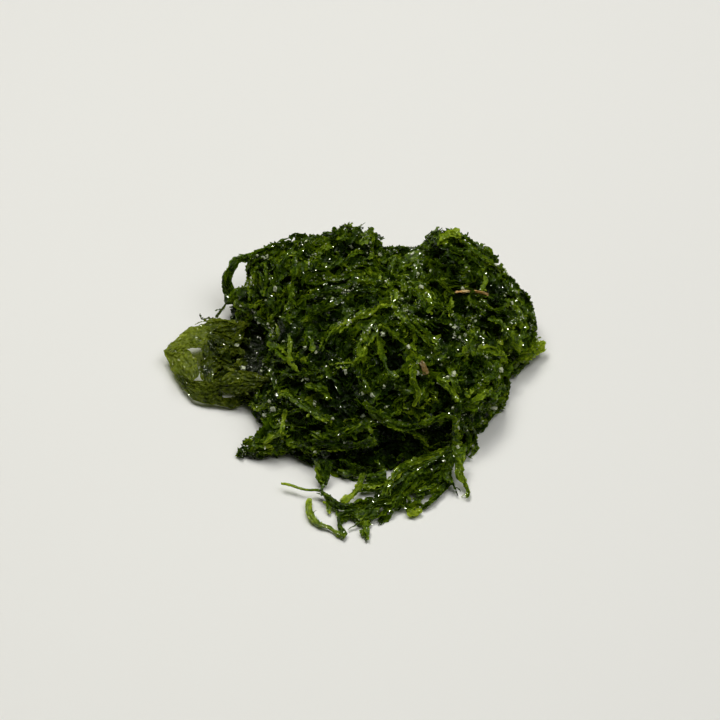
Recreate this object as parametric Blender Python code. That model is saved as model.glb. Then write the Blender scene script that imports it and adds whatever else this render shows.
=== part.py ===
"""A heap of salted, shredded sea lettuce.

Each bundle of fronds is one solid: a low core of matted frond, with the strands that lie over it sunk into
it at their roots. Blades and strands that stand apart are solids of their own. Lengths are in millimetres
until mesh_object turns them into metres. +X is right, +Y is away from the viewer, +Z is up and the heap
rests on Z = 0.
"""

import bmesh
import bpy
import numpy as np

MM = 0.001
GAP = 0.5                  # clear space between two solids
CENTRE_SHIFT = (-0.3, -0.9)  # moves the heap so that its box is centred on the origin
OWN_MARGIN = 1.0           # how much nearer its own bundle than any other a strand stays
CORE_INSET = 3.4           # depth of a core's skin below the bundle's surface
CORE_RELIEF = 1.2          # height of the lumps in a core's skin
CORE_FACET = 9.0           # length of a facet of a core
CORE_RING_HEIGHT = 2.0     # least height of a core's facets above its flat underside
SINK = 5.5                 # depth to which a strand's roots go
HANK_RISE = 2.2            # how far the strands of a hank stand out of the bundle
STRAND_LEVELS = (-1.0, 0.8)  # lowest and highest level of a strand over what it lies on
STRAND_WIDTH = 4.4
STRAND_WIDTHS = (0.75, 1.25)  # narrowest and widest strand, as parts of that width
STRAND_THICKNESS = 1.8
STRAND_FACET = 8.5
STRAND_CRIMP = 0.22        # share by which a strand's width goes up and down along it
STRAND_TIP = 0.4           # width of a strand's tips, as a part of its middle
TAPER = 3.5                # how soon a strand or blade reaches its full width from its tips
BLADE_THICKNESS = 0.9
BLADE_FACET = 4.5
BLADE_TIP = 0.5            # width of a blade's tips, as a part of its middle
BLADE_WAVE = 0.12          # share by which a blade's width goes up and down along it
BLADE_RUFFLE = 0.7         # how far its edges ruffle
STRAY = 1.0                # how far a strand sways from its route
LAY_STEP = 2.0             # length of one step when a strand is laid over a bundle
TURN_SHARE = 0.3           # share of a change of direction that one step takes up
COVER_SPACING = 10.5       # distance between the middles of the strands that cover a bundle
COVER_LENGTH = (20, 36)    # shortest and longest of them
COVER_TURN = 30            # how far they stray from the run of the hanks, in degrees
COVER_TRIES = 900          # number of places at which the start of one is tried
LOOSE_TIPS = 0.35          # share of them that stand off the bundle at one end
LOOSE_LIFT = 0.45          # how far such an end rises, as a part of the depth to which a root goes
SETTLE_ROUNDS, SETTLE_SHARE = 12, 0.8  # how a point is brought to a level over a bundle
UP = np.array([0, 0, 1.0])

# Each bundle's lobes: centre x, y, half width, half depth, turn in degrees, height.
LOBES = {
    "lower_left_tuft": [
        (-34, -24, 9, 8, 30, 8),
        (-27, -19, 9, 8, 35, 9),
    ],
    "centre_tangle": [
        (6, 10, 44, 45, 0, 34),
        (38.5, -1, 21, 33, -8, 22),
        (22, 54, 20, 21, 0, 26),
        (-30, -8, 10, 9, 0, 12),
    ],
    "right_tangle": [
        (42, 53, 20, 22, 14, 28),
        (56, 32, 14, 22, 4, 21),
    ],
    "back_left_tangle": [
        (-21, 45, 29, 26, 15, 30),
        (-5, 55, 28, 20, 0, 32),
    ],
    "front_tangle": [(4, -21, 34, 20, 0, 16)],
}

# Hanks that lie on each bundle, seen from above: route, half width, and number of strands laid along it.
HANKS = {
    "lower_left_tuft": [
        ([(-26, -13), (-31, -20), (-36, -28)], 3, 2),
        ([(-36, -18), (-39, -25), (-43, -31)], 1, 2),
        ([(-42, -30), (-34, -30), (-26, -28)], 2, 2),
    ],
    "centre_tangle": [
        ([(-8, 3), (3, 10), (17, 15)], 1, 1),
        ([(15, 16), (21, 7), (28, 1), (33, -5), (38, -16)], 6, 4),
        ([(6, 8), (4, -2), (3, -12), (5, -22)], 7, 3),
        ([(12, 10), (16, -2), (20, -12), (20, -22)], 6, 3),
        ([(-5, 12), (-17, 8), (-27, -2), (-30, -12)], 7, 2),
        ([(8, 30), (-6, 27), (-20, 22), (-33, 12)], 7, 2),
        ([(30, 32), (18, 35), (4, 36), (-8, 33)], 7, 2),
        ([(26, 24), (34, 18), (42, 8), (50, -4)], 7, 2),
        ([(48, 16), (54, 6), (55, -8), (48, -24)], 5, 2),
        ([(4, -18), (12, -26), (24, -28), (36, -24), (48, -16)], 3, 4),
        ([(12, 58), (22, 50), (30, 44)], 7, 1),
    ],
    "right_tangle": [
        ([(30, 60), (40, 62), (52, 56), (60, 46)], 7, 2),
        ([(30, 68), (40, 72), (52, 66), (60, 54)], 5, 2),
        ([(62, 50), (66, 38), (66, 26), (60, 16)], 5, 2),
        ([(36, 46), (44, 42), (54, 42)], 5, 1),
        ([(52, 34), (56, 26), (58, 18)], 5, 1),
    ],
    "back_left_tangle": [
        ([(4, 46), (-12, 42), (-26, 34), (-38, 28)], 7, 2),
        ([(6, 56), (-10, 54), (-28, 46), (-42, 38)], 7, 2),
        ([(6, 64), (-10, 66), (-26, 62), (-38, 54)], 6, 2),
        ([(-30, 60), (-40, 54), (-47, 44), (-44, 32)], 6, 2),
        ([(18, 66), (4, 74), (-12, 76), (-28, 70)], 7, 1),
    ],
    "front_tangle": [
        ([(-30, -14), (-18, -26), (-4, -33), (10, -34), (22, -31)], 3, 4),
        ([(-24, -22), (-10, -36), (6, -40), (20, -36)], 4, 3),
    ],
}

# Strands with a route of their own in space: points, width and thickness.
FREE_STRANDS = {
    "trailing_bundle": [
        ([(45, -24, 11), (38, -34, 8), (30, -41, 6), (20, -47, 4), (10, -53, 3), (1, -57, 2), (-7, -56, 2)],
         6.4, 3.6),
        ([(44, -30, 6), (32, -43, 4), (22, -50, 3), (12, -56, 2), (3, -60, 2), (-2, -64, 2)], 6.0, 3.0),
        ([(36, -31, 5), (25, -42, 5), (17, -46, 5), (9, -50, 4), (2, -52, 3)], 5.0, 2.8),
        ([(7, -54, 2), (-3, -58, 2), (-9, -54.5, 2), (-14, -51, 2), (-21, -50, 2.4), (-28, -47.5, 3)],
         2.2, 1.4),
        ([(3, -59, 2), (-4, -61, 2), (-6, -67, 1), (-4, -72.5, 1.2), (-8, -71, 1), (-13, -67, 1),
          (-17, -61, 1), (-16.5, -54, 2)], 2.6, 1.4),
        ([(4, -57, 2), (2, -63, 2), (3.5, -69, 1.4), (4.5, -74.5, 1)], 3.0, 1.6),
        ([(8, -59, 2), (2, -65, 2), (-2, -69, 1)], 1.8, 1.2),
        ([(12, -54, 2), (12.5, -61, 1.5), (9, -65, 1)], 1.8, 1.2),
        ([(18, -46, 3), (17, -53, 2), (15, -59, 1)], 2.6, 1.4),
        ([(12, -50, 3), (3, -50.5, 1.6), (-3, -53, 1.2), (-7, -56, 1.4)], 2.4, 1.3),
        ([(36, -37, 4), (34, -46, 2), (30, -52, 1), (25, -57, 1), (21, -60.5, 1)], 2.8, 1.4),
        ([(22, -46, 3), (24, -52, 1.6), (24, -59, 1)], 2.0, 1.2),
        ([(37, -34, 5), (36.5, -43, 2), (38, -51.5, 1)], 1.8, 1.2),
        ([(41, -30, 5), (40.5, -41, 2), (42, -47, 1), (42.5, -52.5, 1)], 2.4, 1.3),
    ],
    "standing_loop": [
        ([(-32, 60, 14), (-39, 61.5, 17), (-44, 58.5, 19), (-48, 53, 19), (-51, 48, 15), (-51.5, 43, 9),
          (-49, 38, 5), (-42, 36, 5)], 4.2, 1.6),
        ([(-47, 43, 6), (-51.5, 42, 5), (-53.5, 39.5, 3.4), (-57, 41, 2.4), (-61, 43.5, 3.0)], 2.2, 1.3),
    ],
    "front_tuft": [
        ([(-20, -34, 4), (-16, -39, 3), (-13, -42.5, 2), (-11.2, -44.5, 1.4), (-11.5, -48, 1)], 4.8, 1.9),
        ([(-13, -35, 4), (-13.5, -42, 2.2), (-12, -46, 1)], 3.4, 1.6),
    ],
    "right_tip": [
        ([(56, 17, 7), (62, 18.5, 6), (67.2, 20, 4.5), (70, 23.5, 4), (72.5, 28, 3.6)], 4.4, 1.5),
        ([(62, 19, 5), (68.5, 21, 3.6), (71.5, 23, 2.6), (73.5, 25, 1.8)], 2.6, 1.3),
        ([(64, 20, 5), (69, 22.5, 4.6), (70.5, 26.5, 5), (70.6, 31, 5.6)], 2.4, 1.3),
    ],
    "tan_stalk": [([(39.2, 36.4, 22.0), (45.5, 38.0, 20.9), (52.2, 37.3, 20.0)], 1.8, 1.2)],
    "tan_fleck": [([(25.3, -9.4, 28.4), (26.3, -11.6, 27.9), (27.2, -13.8, 26.2)], 2.8, 1.2)],
}

# The broad folded frond: middle line of each blade, its width and its slant from flat in degrees.
BROAD_BLADES = [
    ([(-34, 28, 8), (-46, 31, 7.5), (-55, 31, 7.5), (-62, 28.5, 6.5), (-67, 24, 5), (-70, 17, 4.5)],
     11, -25),
    ([(-70.5, 20, 4), (-68.5, 10, 4), (-63, 1, 4.5), (-55, -4.5, 4.5), (-47, -6, 5), (-35, -4, 7)],
     11, 30),
    ([(-64, 2, 6.5), (-56, 2, 9), (-49, 3, 11), (-42, 3, 12), (-34, 2, 13)], 6, 55),
]
BROAD_SCATTER = 1.5        # how far up or down the strands inside its loop are scattered
# The strands that cross inside its loop: route, half width of the hank, and their number.
BROAD_HANKS = [
    ([(-65, 21, 5), (-58, 21, 6), (-50, 23, 6), (-36, 24, 6)], 5, 3),
    ([(-65, 9, 4), (-56, 12, 5), (-49, 11, 6), (-36, 10, 7)], 5, 3),
    ([(-59, 30, 5), (-56, 18, 4), (-56, 8, 4), (-53, -1, 5)], 5, 2),
    ([(-47, 30, 5), (-45, 18, 5), (-45, 8, 5), (-44, -3, 5)], 5, 3),
]

COLOURS = {
    "deep_green": (0.012, 0.045, 0.008),
    "olive_green": (0.060, 0.110, 0.012),
    "bright_green": (0.050, 0.150, 0.010),
    "tan": (0.300, 0.170, 0.060),
}
NODE_COLOURS = {
    "left_broad_frond": "olive_green",
    "right_tip": "bright_green",
    "tan_stalk": "tan",
    "tan_fleck": "tan",
}


def lobe_distance(points, lobe):
    """Rough distance from a lobe's half ellipsoid, below zero inside it."""
    x, y, half_width, half_depth, turn, height = lobe
    c, s = np.cos(np.radians(turn)), np.sin(np.radians(turn))
    px, py, pz = points[:, 0] - x, points[:, 1] - y, points[:, 2]
    local = np.stack([px * c + py * s, py * c - px * s, pz], 1)
    size = np.array([half_width, half_depth, height], float)
    near = np.linalg.norm(local / size, axis=1)
    slope = np.linalg.norm(local / size**2, axis=1)
    return near * (near - 1) / np.maximum(slope, 1e-9)


def bundle_distance(points, lobes, blend=2.5):
    """Distance from several lobes, blended where they meet."""
    each = np.stack([lobe_distance(points, lobe) for lobe in lobes])
    low = each.min(0)
    return low - blend * np.log(np.exp((low - each) / blend).sum(0))


def outward(points, lobes, step=0.05):
    """Direction in which the distance from a bundle grows fastest."""
    grown = [bundle_distance(points + step * axis, lobes) - bundle_distance(points - step * axis, lobes)
             for axis in np.eye(3)]
    return unit(np.stack(grown, 1))


def unit(vectors):
    """Vectors brought to a length of one."""
    return vectors / np.maximum(np.linalg.norm(vectors, axis=-1, keepdims=True), 1e-9)


def settle(points, lobes, level):
    """Points moved in or out until they lie at a level over a bundle's surface."""
    points = points.copy()
    for _ in range(SETTLE_ROUNDS):
        points += (level - bundle_distance(points, lobes))[:, None] * outward(points, lobes) * SETTLE_SHARE
        points[:, 2] = np.maximum(points[:, 2], STRAND_THICKNESS / 2)
    return points


def smooth_path(control, step):
    """Points about a step apart on a smooth curve through the control points."""
    control = np.array(control, float)
    ends = np.concatenate([[2 * control[0] - control[1]], control, [2 * control[-1] - control[-2]]])
    t = np.linspace(0, 1, 12, endpoint=False)[:, None]
    pieces = []
    for a, b, c, d in zip(ends, ends[1:], ends[2:], ends[3:]):
        bend = (2 * a - 5 * b + 4 * c - d) * t**2 + (3 * b - a - 3 * c + d) * t**3
        pieces.append(b + 0.5 * ((c - a) * t + bend))
    fine = np.concatenate([*pieces, control[-1:]])
    along = np.concatenate([[0], np.cumsum(np.linalg.norm(np.diff(fine, axis=0), axis=1))])
    wanted = np.linspace(0, along[-1], max(3, int(round(along[-1] / step)) + 1))
    return np.stack([np.interp(wanted, along, fine[:, k]) for k in range(3)], 1)


def sideways(points, up):
    """Directions across a path, square to it and to up."""
    return unit(np.cross(np.gradient(points, axis=0), up))


def wave(t, draw, strength):
    """A slow irregular wave along a strand, the sum of three sines."""
    sines = [np.sin(2 * np.pi * (turns * t + draw.random())) / turns for turns in (1.3, 2.9, 5.2)]
    return strength * sum(sines)


def hank_runs():
    """Points along all the hanks and the direction of each, seen from above."""
    runs = []
    for hanks in HANKS.values():
        for route, _, _ in hanks:
            path = smooth_path([(x, y, 0) for x, y in route], 4)[:, :2]
            runs.append(np.concatenate([path, unit(np.gradient(path, axis=0))], 1))
    return np.concatenate(runs)


def run_direction(point, runs):
    """Direction of the hanks round a point, as an angle. Opposite directions count as the same one."""
    weight = 1 / (np.sum((runs[:, :2] - point[:2]) ** 2, 1) + 16) ** 2
    twice = 2 * np.arctan2(runs[:, 3], runs[:, 2])
    return 0.5 * np.arctan2(weight @ np.sin(twice), weight @ np.cos(twice))


def hank_strand(route, half_width, lobes, draw):
    """Points of one strand of a hank, laid on its bundle."""
    height = max(lobe[-1] for lobe in lobes)
    middle = smooth_path([(x, y, height * 0.7) for x, y in route], STRAND_FACET / 4)
    start, end = draw.uniform(0, 0.25), draw.uniform(0.75, 1.0)
    middle = middle[int(start * len(middle)):int(end * len(middle))]
    middle = settle(middle, lobes, 0)
    t = np.linspace(0, 1, len(middle))
    offset = draw.uniform(-half_width, half_width) + wave(t, draw, STRAY)
    points = middle + offset[:, None] * sideways(middle, outward(middle, lobes))
    return sunk_path(points, lobes, HANK_RISE, False, draw)


def sunk_path(points, lobes, rise, loose_tip, draw):
    """A path laid over a bundle with its roots sunk into it, and perhaps one end standing off."""
    t = np.linspace(-1, 1, len(points))
    low = np.abs(t) ** 3
    if loose_tip:
        low = np.where(t < 0, low, -LOOSE_LIFT * t**2)
    level = rise + draw.uniform(*STRAND_LEVELS) - (SINK + rise) * low
    return smooth_path(settle(points, lobes, level)[::3], STRAND_FACET)


def cover_starts(name, draw):
    """Well spread points all over the surface that a bundle shows."""
    lobes = LOBES[name]
    centre = bundle_centre(lobes)
    kept = []
    for _ in range(COVER_TRIES):
        way = unit(draw.normal(size=3)) * (1, 1, 0)
        way[2] = draw.uniform(0.02, 0.98)
        point = centre + unit(way) * reach(centre, unit(way), lobes, 0)
        home, away = own_and_nearest(point[None], name)
        if away[0] - home[0] > 0 and all(np.linalg.norm(point - other) > COVER_SPACING for other in kept):
            kept.append(point)
    return kept


def cover_strand(start, lobes, runs, draw):
    """Points of a strand that follows the hanks' run over a bundle, through a start point."""
    turn = np.radians(draw.normal(0, COVER_TURN))
    half = draw.uniform(*COVER_LENGTH) / 2
    halves = []
    for side in (-1, 1):
        point, angle, path = start.copy(), None, []
        for _ in range(int(half / LAY_STEP)):
            fresh = run_direction(point, runs) + turn
            angle = fresh if angle is None else angle + TURN_SHARE * np.arctan(np.tan(fresh - angle))
            step = np.array([np.cos(angle), np.sin(angle), 0]) * side
            normal = outward(point[None], lobes)[0]
            point = point + unit(step - normal * (step @ normal)) * LAY_STEP
            point[2] = max(point[2], STRAND_THICKNESS / 2)
            path.append(point)
        halves.append(path)
    points = np.array(halves[0][::-1] + [start] + halves[1])
    sway = wave(np.linspace(0, 1, len(points)), draw, STRAY)
    points += sway[:, None] * sideways(points, outward(points, lobes))
    return sunk_path(points, lobes, 0.0, draw.random() < LOOSE_TIPS, draw)


def own_and_nearest(points, name):
    """Distances of points from their own bundle and from the nearest other one."""
    others = [bundle_distance(points, lobes) for other, lobes in LOBES.items() if other != name]
    return bundle_distance(points, LOBES[name]), np.min(others, axis=0)


def own_stretch(points, name, margin):
    """The longest stretch of a strand that is nearer its own bundle than any other, by a margin."""
    home, away = own_and_nearest(points, name)
    best, stretch = [], []
    for i, clear in enumerate(away - home > margin):
        stretch = [*stretch, i] if clear else []
        best = stretch if len(stretch) > len(best) else best
    return points[best]


def strand_shape(points, up, width, thickness, grow=0.0):
    """Vertices and faces of a closed strand of three sides: a flat underside and a ridge."""
    count = len(points)
    t = np.linspace(0, 1, count)
    taper = STRAND_TIP + (1 - STRAND_TIP) * np.minimum(1, TAPER * np.minimum(t, 1 - t))
    crimp = 1 + STRAND_CRIMP * np.where(np.arange(count) % 2, 1, -1)
    half = (width * taper * crimp / 2 + grow)[:, None]
    forward = unit(np.gradient(points, axis=0))
    side = sideways(points, up)
    rise = unit(np.cross(side, forward))
    points = points.copy()
    points[0] -= grow * forward[0]
    points[-1] += grow * forward[-1]
    low = points - rise * (thickness / 3 + grow)
    ridge = points + rise * (thickness * 2 / 3 + 1.6 * grow)
    rings = np.stack([low - side * half, low + side * half, ridge], 1)
    rings[:, :, 2] = np.maximum(rings[:, :, 2], -grow)
    faces = [(0, 2, 1), (3 * count - 3, 3 * count - 2, 3 * count - 1)]
    for i in range(count - 1):
        for k in range(3):
            a, b = 3 * i + k, 3 * i + (k + 1) % 3
            faces += [(a, b, b + 3), (a, b + 3, a + 3)]
    return rings.reshape(-1, 3), faces


def blade_shape(control, width, slant, seed, grow=0.0):
    """Vertices and faces of a broad blade with waved edges, split into triangles alike on both faces."""
    draw = np.random.default_rng(seed)
    middle = smooth_path(control, BLADE_FACET)
    rows, across = len(middle), 5
    t = np.linspace(0, 1, rows)
    lean = np.radians(slant)
    side = sideways(middle, UP) * np.cos(lean) + UP * np.sin(lean)
    rise = unit(np.cross(side, np.gradient(middle, axis=0)))
    taper = BLADE_TIP + (1 - BLADE_TIP) * np.minimum(1, TAPER * np.minimum(t, 1 - t))
    half = width / 2 * taper * (1 + wave(t, draw, BLADE_WAVE)) + grow
    u = np.linspace(-1, 1, across)
    ruffle = np.stack([wave(t, draw, BLADE_RUFFLE) * abs(v) for v in u], 1)
    sheet = middle[:, None] + side[:, None] * (half[:, None] * u)[..., None]
    sheet += rise[:, None] * ruffle[..., None]
    thick = BLADE_THICKNESS / 2 + grow
    lack = np.maximum(0, thick - grow - sheet[..., 2])
    sheet[..., 2] += lack
    top = (sheet + rise[:, None] * thick).reshape(-1, 3)
    under = (sheet - rise[:, None] * thick).reshape(-1, 3)
    vertices = np.concatenate([top, under])
    base = rows * across
    faces = []
    for i in range(rows - 1):
        for k in range(across - 1):
            a = i * across + k
            b, c, d = a + 1, a + across + 1, a + across
            faces += [(a, b, c), (a, c, d), (base + a, base + c, base + b), (base + a, base + d, base + c)]
    rim = [i * across for i in range(rows)] + [base - across + k for k in range(1, across)]
    rim += [i * across + across - 1 for i in range(rows - 2, -1, -1)] + list(range(across - 2, 0, -1))
    for a, b in zip(rim, rim[1:] + rim[:1]):
        faces += [(a, b, base + b), (a, base + b, base + a)]
    return vertices, faces


def bundle_centre(lobes):
    """The middle of a bundle's lobes, on the ground."""
    return np.array([*np.mean([lobe[:2] for lobe in lobes], axis=0), 0.0])


def reach(centre, way, lobes, inset):
    """Distance along a ray to the farthest point that lies the inset inside the bundle."""
    steps = np.arange(1, 80, 0.5)
    depth = -inset - bundle_distance(centre + steps[:, None] * way, lobes)
    last = np.flatnonzero(depth > 0).max(initial=0)
    part = depth[last] / (depth[last] - depth[last + 1])
    return steps[last] + (steps[1] - steps[0]) * np.clip(part, 0, 1)


def core_shape(lobes, inset, grow=0.0):
    """Vertices and faces of a bundle's core: a lumpy dome with a flat underside."""
    centre = bundle_centre(lobes)
    radius = reach(centre, np.array([1.0, 0, 0]), lobes, 0)
    around = int(max(12, 2 * np.pi * radius / CORE_FACET))
    up = int(max(4, around / 4.5))
    top = centre + UP * reach(centre, UP, lobes, inset)
    vertices = []
    for rise in np.linspace(0, np.pi / 2, up, endpoint=False):
        for turn in np.linspace(0, 2 * np.pi, around, endpoint=False):
            way = np.array([np.cos(turn) * np.cos(rise), np.sin(turn) * np.cos(rise), np.sin(rise)])
            vertices.append(centre + way * reach(centre, way, lobes, inset))
    vertices = np.array([*vertices, top])
    lumps = np.sin(vertices @ (0.31, 0.19, 0.5)) + np.sin(vertices @ (-0.17, 0.37, 0.3) + 2) * 0.8
    lift = CORE_RELIEF * lumps[:, None] * outward(vertices, lobes)
    lift[:around, 2] = 0
    vertices = vertices + lift
    vertices[:around, 2] = 0
    vertices[around:, 2] = np.maximum(vertices[around:, 2], CORE_RING_HEIGHT)
    vertices = vertices + 1.4 * grow * outward(vertices, lobes)
    vertices[:around, 2] = -grow
    faces = [tuple(range(around - 1, -1, -1))]
    for ring in range(up - 1):
        for k in range(around):
            a, b = ring * around + k, ring * around + (k + 1) % around
            faces += [(a, b, b + around), (a, b + around, a + around)]
    last = (up - 1) * around
    faces += [(last + k, last + (k + 1) % around, up * around) for k in range(around)]
    return vertices, faces


def bundle_shapes(name, seed):
    """What a bundle is fused from: its core, its hanks and the strands that cover the rest."""
    draw = np.random.default_rng(seed)
    lobes = LOBES[name]
    runs = hank_runs()
    paths = []
    for route, half_width, number in HANKS[name]:
        paths += [hank_strand(route, half_width, lobes, draw) for _ in range(number)]
    paths += [cover_strand(start, lobes, runs, draw) for start in cover_starts(name, draw)]
    shapes = [("core", (lobes, CORE_INSET))]
    for points in paths:
        width = STRAND_WIDTH * draw.uniform(*STRAND_WIDTHS)
        points = own_stretch(points, name, OWN_MARGIN)
        if len(points) >= 3:
            shapes.append(("strand", (points, outward(points, lobes), width, STRAND_THICKNESS)))
    return shapes


def free_shapes(name, up=UP):
    """The strands of a node that follow routes of their own."""
    return [("strand", (smooth_path(control, STRAND_FACET * 0.6), up, width, thickness))
            for control, width, thickness in FREE_STRANDS[name]]


def broad_frond_shapes(seed):
    """The broad blades and the strands that cross inside their loop."""
    draw = np.random.default_rng(seed)
    shapes = [("blade", (*blade, seed + i)) for i, blade in enumerate(BROAD_BLADES)]
    for control, half_width, number in BROAD_HANKS:
        for _ in range(number):
            points = smooth_path(control, STRAND_FACET)
            shift = draw.uniform(-half_width, half_width)
            shift = shift + wave(np.linspace(0, 1, len(points)), draw, STRAY)
            points = points + shift[:, None] * sideways(points, UP)
            lift = draw.uniform(-BROAD_SCATTER, BROAD_SCATTER)
            points[:, 2] = np.maximum(points[:, 2] + lift, STRAND_THICKNESS * 2 / 3)
            shapes.append(("strand", (points, UP, STRAND_WIDTH, STRAND_THICKNESS)))
    return shapes


def mesh_object(name, vertices, faces):
    """A Blender object from millimetres, moved to the heap's own origin, with its normals facing out."""
    places = (np.array(vertices) + (*CENTRE_SHIFT, 0)) * MM
    mesh = bpy.data.meshes.new(name)
    mesh.from_pydata(places.tolist(), [], faces)
    work = bmesh.new()
    work.from_mesh(mesh)
    bmesh.ops.recalc_face_normals(work, faces=work.faces)
    bmesh.ops.triangulate(work, faces=work.faces)
    work.to_mesh(mesh)
    work.free()
    obj = bpy.data.objects.new(name, mesh)
    bpy.context.scene.collection.objects.link(obj)
    return obj


def combine(target, others, operation):
    """One Boolean of the target with all the others, which are then removed."""
    group = bpy.data.collections.new("operands")
    bpy.context.scene.collection.children.link(group)
    for obj in others:
        bpy.context.scene.collection.objects.unlink(obj)
        group.objects.link(obj)
    modifier = target.modifiers.new("combine", "BOOLEAN")
    modifier.operation = operation
    modifier.operand_type = "COLLECTION"
    modifier.collection = group
    modifier.solver = "MANIFOLD"
    result = bpy.data.meshes.new_from_object(target.evaluated_get(bpy.context.evaluated_depsgraph_get()))
    target.modifiers.clear()
    target.data = result
    for obj in list(group.objects):
        bpy.data.objects.remove(obj)
    bpy.data.collections.remove(group)


def keep_one_body(obj):
    """Drops loose scraps and fills sealed hollows: only the largest shell stays."""
    work = bmesh.new()
    work.from_mesh(obj.data)
    bmesh.ops.triangulate(work, faces=work.faces)
    shells = []
    left = set(work.faces)
    while left:
        seed = left.pop()
        shell, border = {seed}, [seed]
        while border:
            for edge in border.pop().edges:
                fresh = {face for face in edge.link_faces if face not in shell}
                shell |= fresh
                border += fresh
        left -= shell
        shells.append(shell)
    shells.sort(key=len)
    loose = [face for shell in shells[:-1] for face in shell]
    bmesh.ops.delete(work, geom=loose, context="FACES")
    work.to_mesh(obj.data)
    work.free()


def build(name, shapes, grow=0.0):
    """One solid fused from its shapes, each grown on every side by the same amount."""
    made = []
    for kind, values in shapes:
        if kind == "core":
            vertices, faces = core_shape(*values, grow)
        elif kind == "blade":
            vertices, faces = blade_shape(*values, grow)
        else:
            vertices, faces = strand_shape(*values, grow)
        made.append(mesh_object(name, vertices, faces))
    whole = made[0]
    if len(made) > 1:
        combine(whole, made[1:], "UNION")
    keep_one_body(whole)
    return whole


def near(box, other):
    """Whether two boxes, each a lowest and a highest corner, meet."""
    return bool(np.all(box[0] < other[1]) and np.all(other[0] < box[1]))


def box_of(obj):
    """The lowest and highest corner of an object's mesh."""
    places = np.array([vert.co[:] for vert in obj.data.vertices])
    return places.min(0), places.max(0)


def material(name):
    """A wet, slightly glossy plant surface in one of the heap's colours."""
    made = bpy.data.materials.get(name)
    if made is None:
        made = bpy.data.materials.new(name)
        made.use_nodes = True
        shader = made.node_tree.nodes["Principled BSDF"]
        shader.inputs["Base Color"].default_value = (*COLOURS[name], 1.0)
        shader.inputs["Roughness"].default_value = 0.35
        shader.inputs["Metallic"].default_value = 0.0
    return made


def finish(obj, name):
    """Gives a finished solid its name, colour and shading."""
    obj.name = name
    obj.data.materials.clear()
    obj.data.materials.append(material(NODE_COLOURS.get(name, "deep_green")))
    obj.data.shade_smooth()
    obj.data.set_sharp_from_angle(angle=np.radians(40))


def main():
    for obj in list(bpy.data.objects):
        bpy.data.objects.remove(obj)

    plan = {
        "tan_stalk": free_shapes("tan_stalk"),
        "tan_fleck": free_shapes("tan_fleck"),
        "left_broad_frond": broad_frond_shapes(3),
        "standing_loop": free_shapes("standing_loop", np.array([-0.6, -0.3, 0.75])),
        "trailing_bundle": free_shapes("trailing_bundle"),
        "front_tuft": free_shapes("front_tuft"),
        "right_tip": free_shapes("right_tip"),
    }
    plan.update({name: bundle_shapes(name, seed) for seed, name in enumerate(LOBES, 60)})

    cutters = []
    for name, shapes in plan.items():
        whole = build(name, shapes)
        box = box_of(whole)
        close = [cutter.copy() for cutter, reached in cutters if near(box, reached)]
        for cutter in close:
            bpy.context.scene.collection.objects.link(cutter)
        if close:
            combine(whole, close, "DIFFERENCE")
            keep_one_body(whole)
        finish(whole, name)
        grown = build("clearance", shapes, GAP)
        bpy.context.scene.collection.objects.unlink(grown)
        cutters.append((grown, box_of(grown)))
    for cutter, _ in cutters:
        bpy.data.objects.remove(cutter)


main()
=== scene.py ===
"""The looks of the sea lettuce heap: crumpled ribbons of frond, their sprigs, and the salt that lies on them.

Lengths are in millimetres in the source's plan, until place() turns them into metres in the frame. +X is
right, +Y is away from the viewer, +Z is up. The heap's form is the same field of lobes as in the solids.
Ribbons are laid over it by rule, then strands that the photograph shows one by one are laid along routes
given in its pixels, cast by the camera onto the heap, so that each of them lies on what carries it.
"""

import math

import bmesh
import bpy
import numpy as np
from mathutils import Matrix, Vector
from mathutils.bvhtree import BVHTree


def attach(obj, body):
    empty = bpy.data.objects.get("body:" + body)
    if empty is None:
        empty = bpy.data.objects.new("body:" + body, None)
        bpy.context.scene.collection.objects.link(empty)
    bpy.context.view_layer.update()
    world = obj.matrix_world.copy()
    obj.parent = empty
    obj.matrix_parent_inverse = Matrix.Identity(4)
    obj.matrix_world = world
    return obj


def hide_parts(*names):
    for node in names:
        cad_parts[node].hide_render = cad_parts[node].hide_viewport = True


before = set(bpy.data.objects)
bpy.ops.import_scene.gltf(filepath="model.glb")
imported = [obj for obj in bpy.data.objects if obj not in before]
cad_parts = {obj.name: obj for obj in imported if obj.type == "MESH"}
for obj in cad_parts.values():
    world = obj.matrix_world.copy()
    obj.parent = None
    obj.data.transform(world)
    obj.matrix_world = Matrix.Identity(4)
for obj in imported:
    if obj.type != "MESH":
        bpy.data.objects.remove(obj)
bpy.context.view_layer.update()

MM = 0.001
CENTRE_SHIFT = (-0.3, -0.9)    # the heap's plan to the frame's origin
UP = np.array([0, 0, 1.0])

# The camera, in the plan.
CAMERA_TILT = math.radians(44)  # how far it looks down
CAMERA_AIM = np.array([2.3, 21.0, 0.0])
LENS, SENSOR = 150.0, 36.0
FRAME_PIXELS = 720
PIXELS_PER_MM = 2.567          # at the point it aims at
FOCUS_PIXELS = LENS / SENSOR * FRAME_PIXELS
CAMERA_BACK = np.array([0, -math.cos(CAMERA_TILT), math.sin(CAMERA_TILT)])
CAMERA_UP = np.array([0, math.sin(CAMERA_TILT), math.cos(CAMERA_TILT)])
CAMERA_PLACE = CAMERA_AIM + CAMERA_BACK * FOCUS_PIXELS / PIXELS_PER_MM

# The box and pitch of the grid on which the heap's form is kept.
GRID_LOW = np.array([-84.0, -84.0, -4.0])
GRID_HIGH = np.array([84.0, 88.0, 46.0])
GRID_STEP = 1.0

# The least height over the floor of paths on the heap, of other paths, of a ribbon's points and of grains.
LOW_SKIN, LOW_PATH, LOW_RIBBON, LOW_GRAIN = 0.5, 0.4, 0.12, 0.1

# The seeds of the random draws.
LUMP_SEED, PLEAT_SEED = 4, 5
BUNDLE_SEED, LOOSE_SEED, TAN_SEED, SALT_SEED, TRACED_SEED = 11, 21, 41, 51, 61

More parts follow.
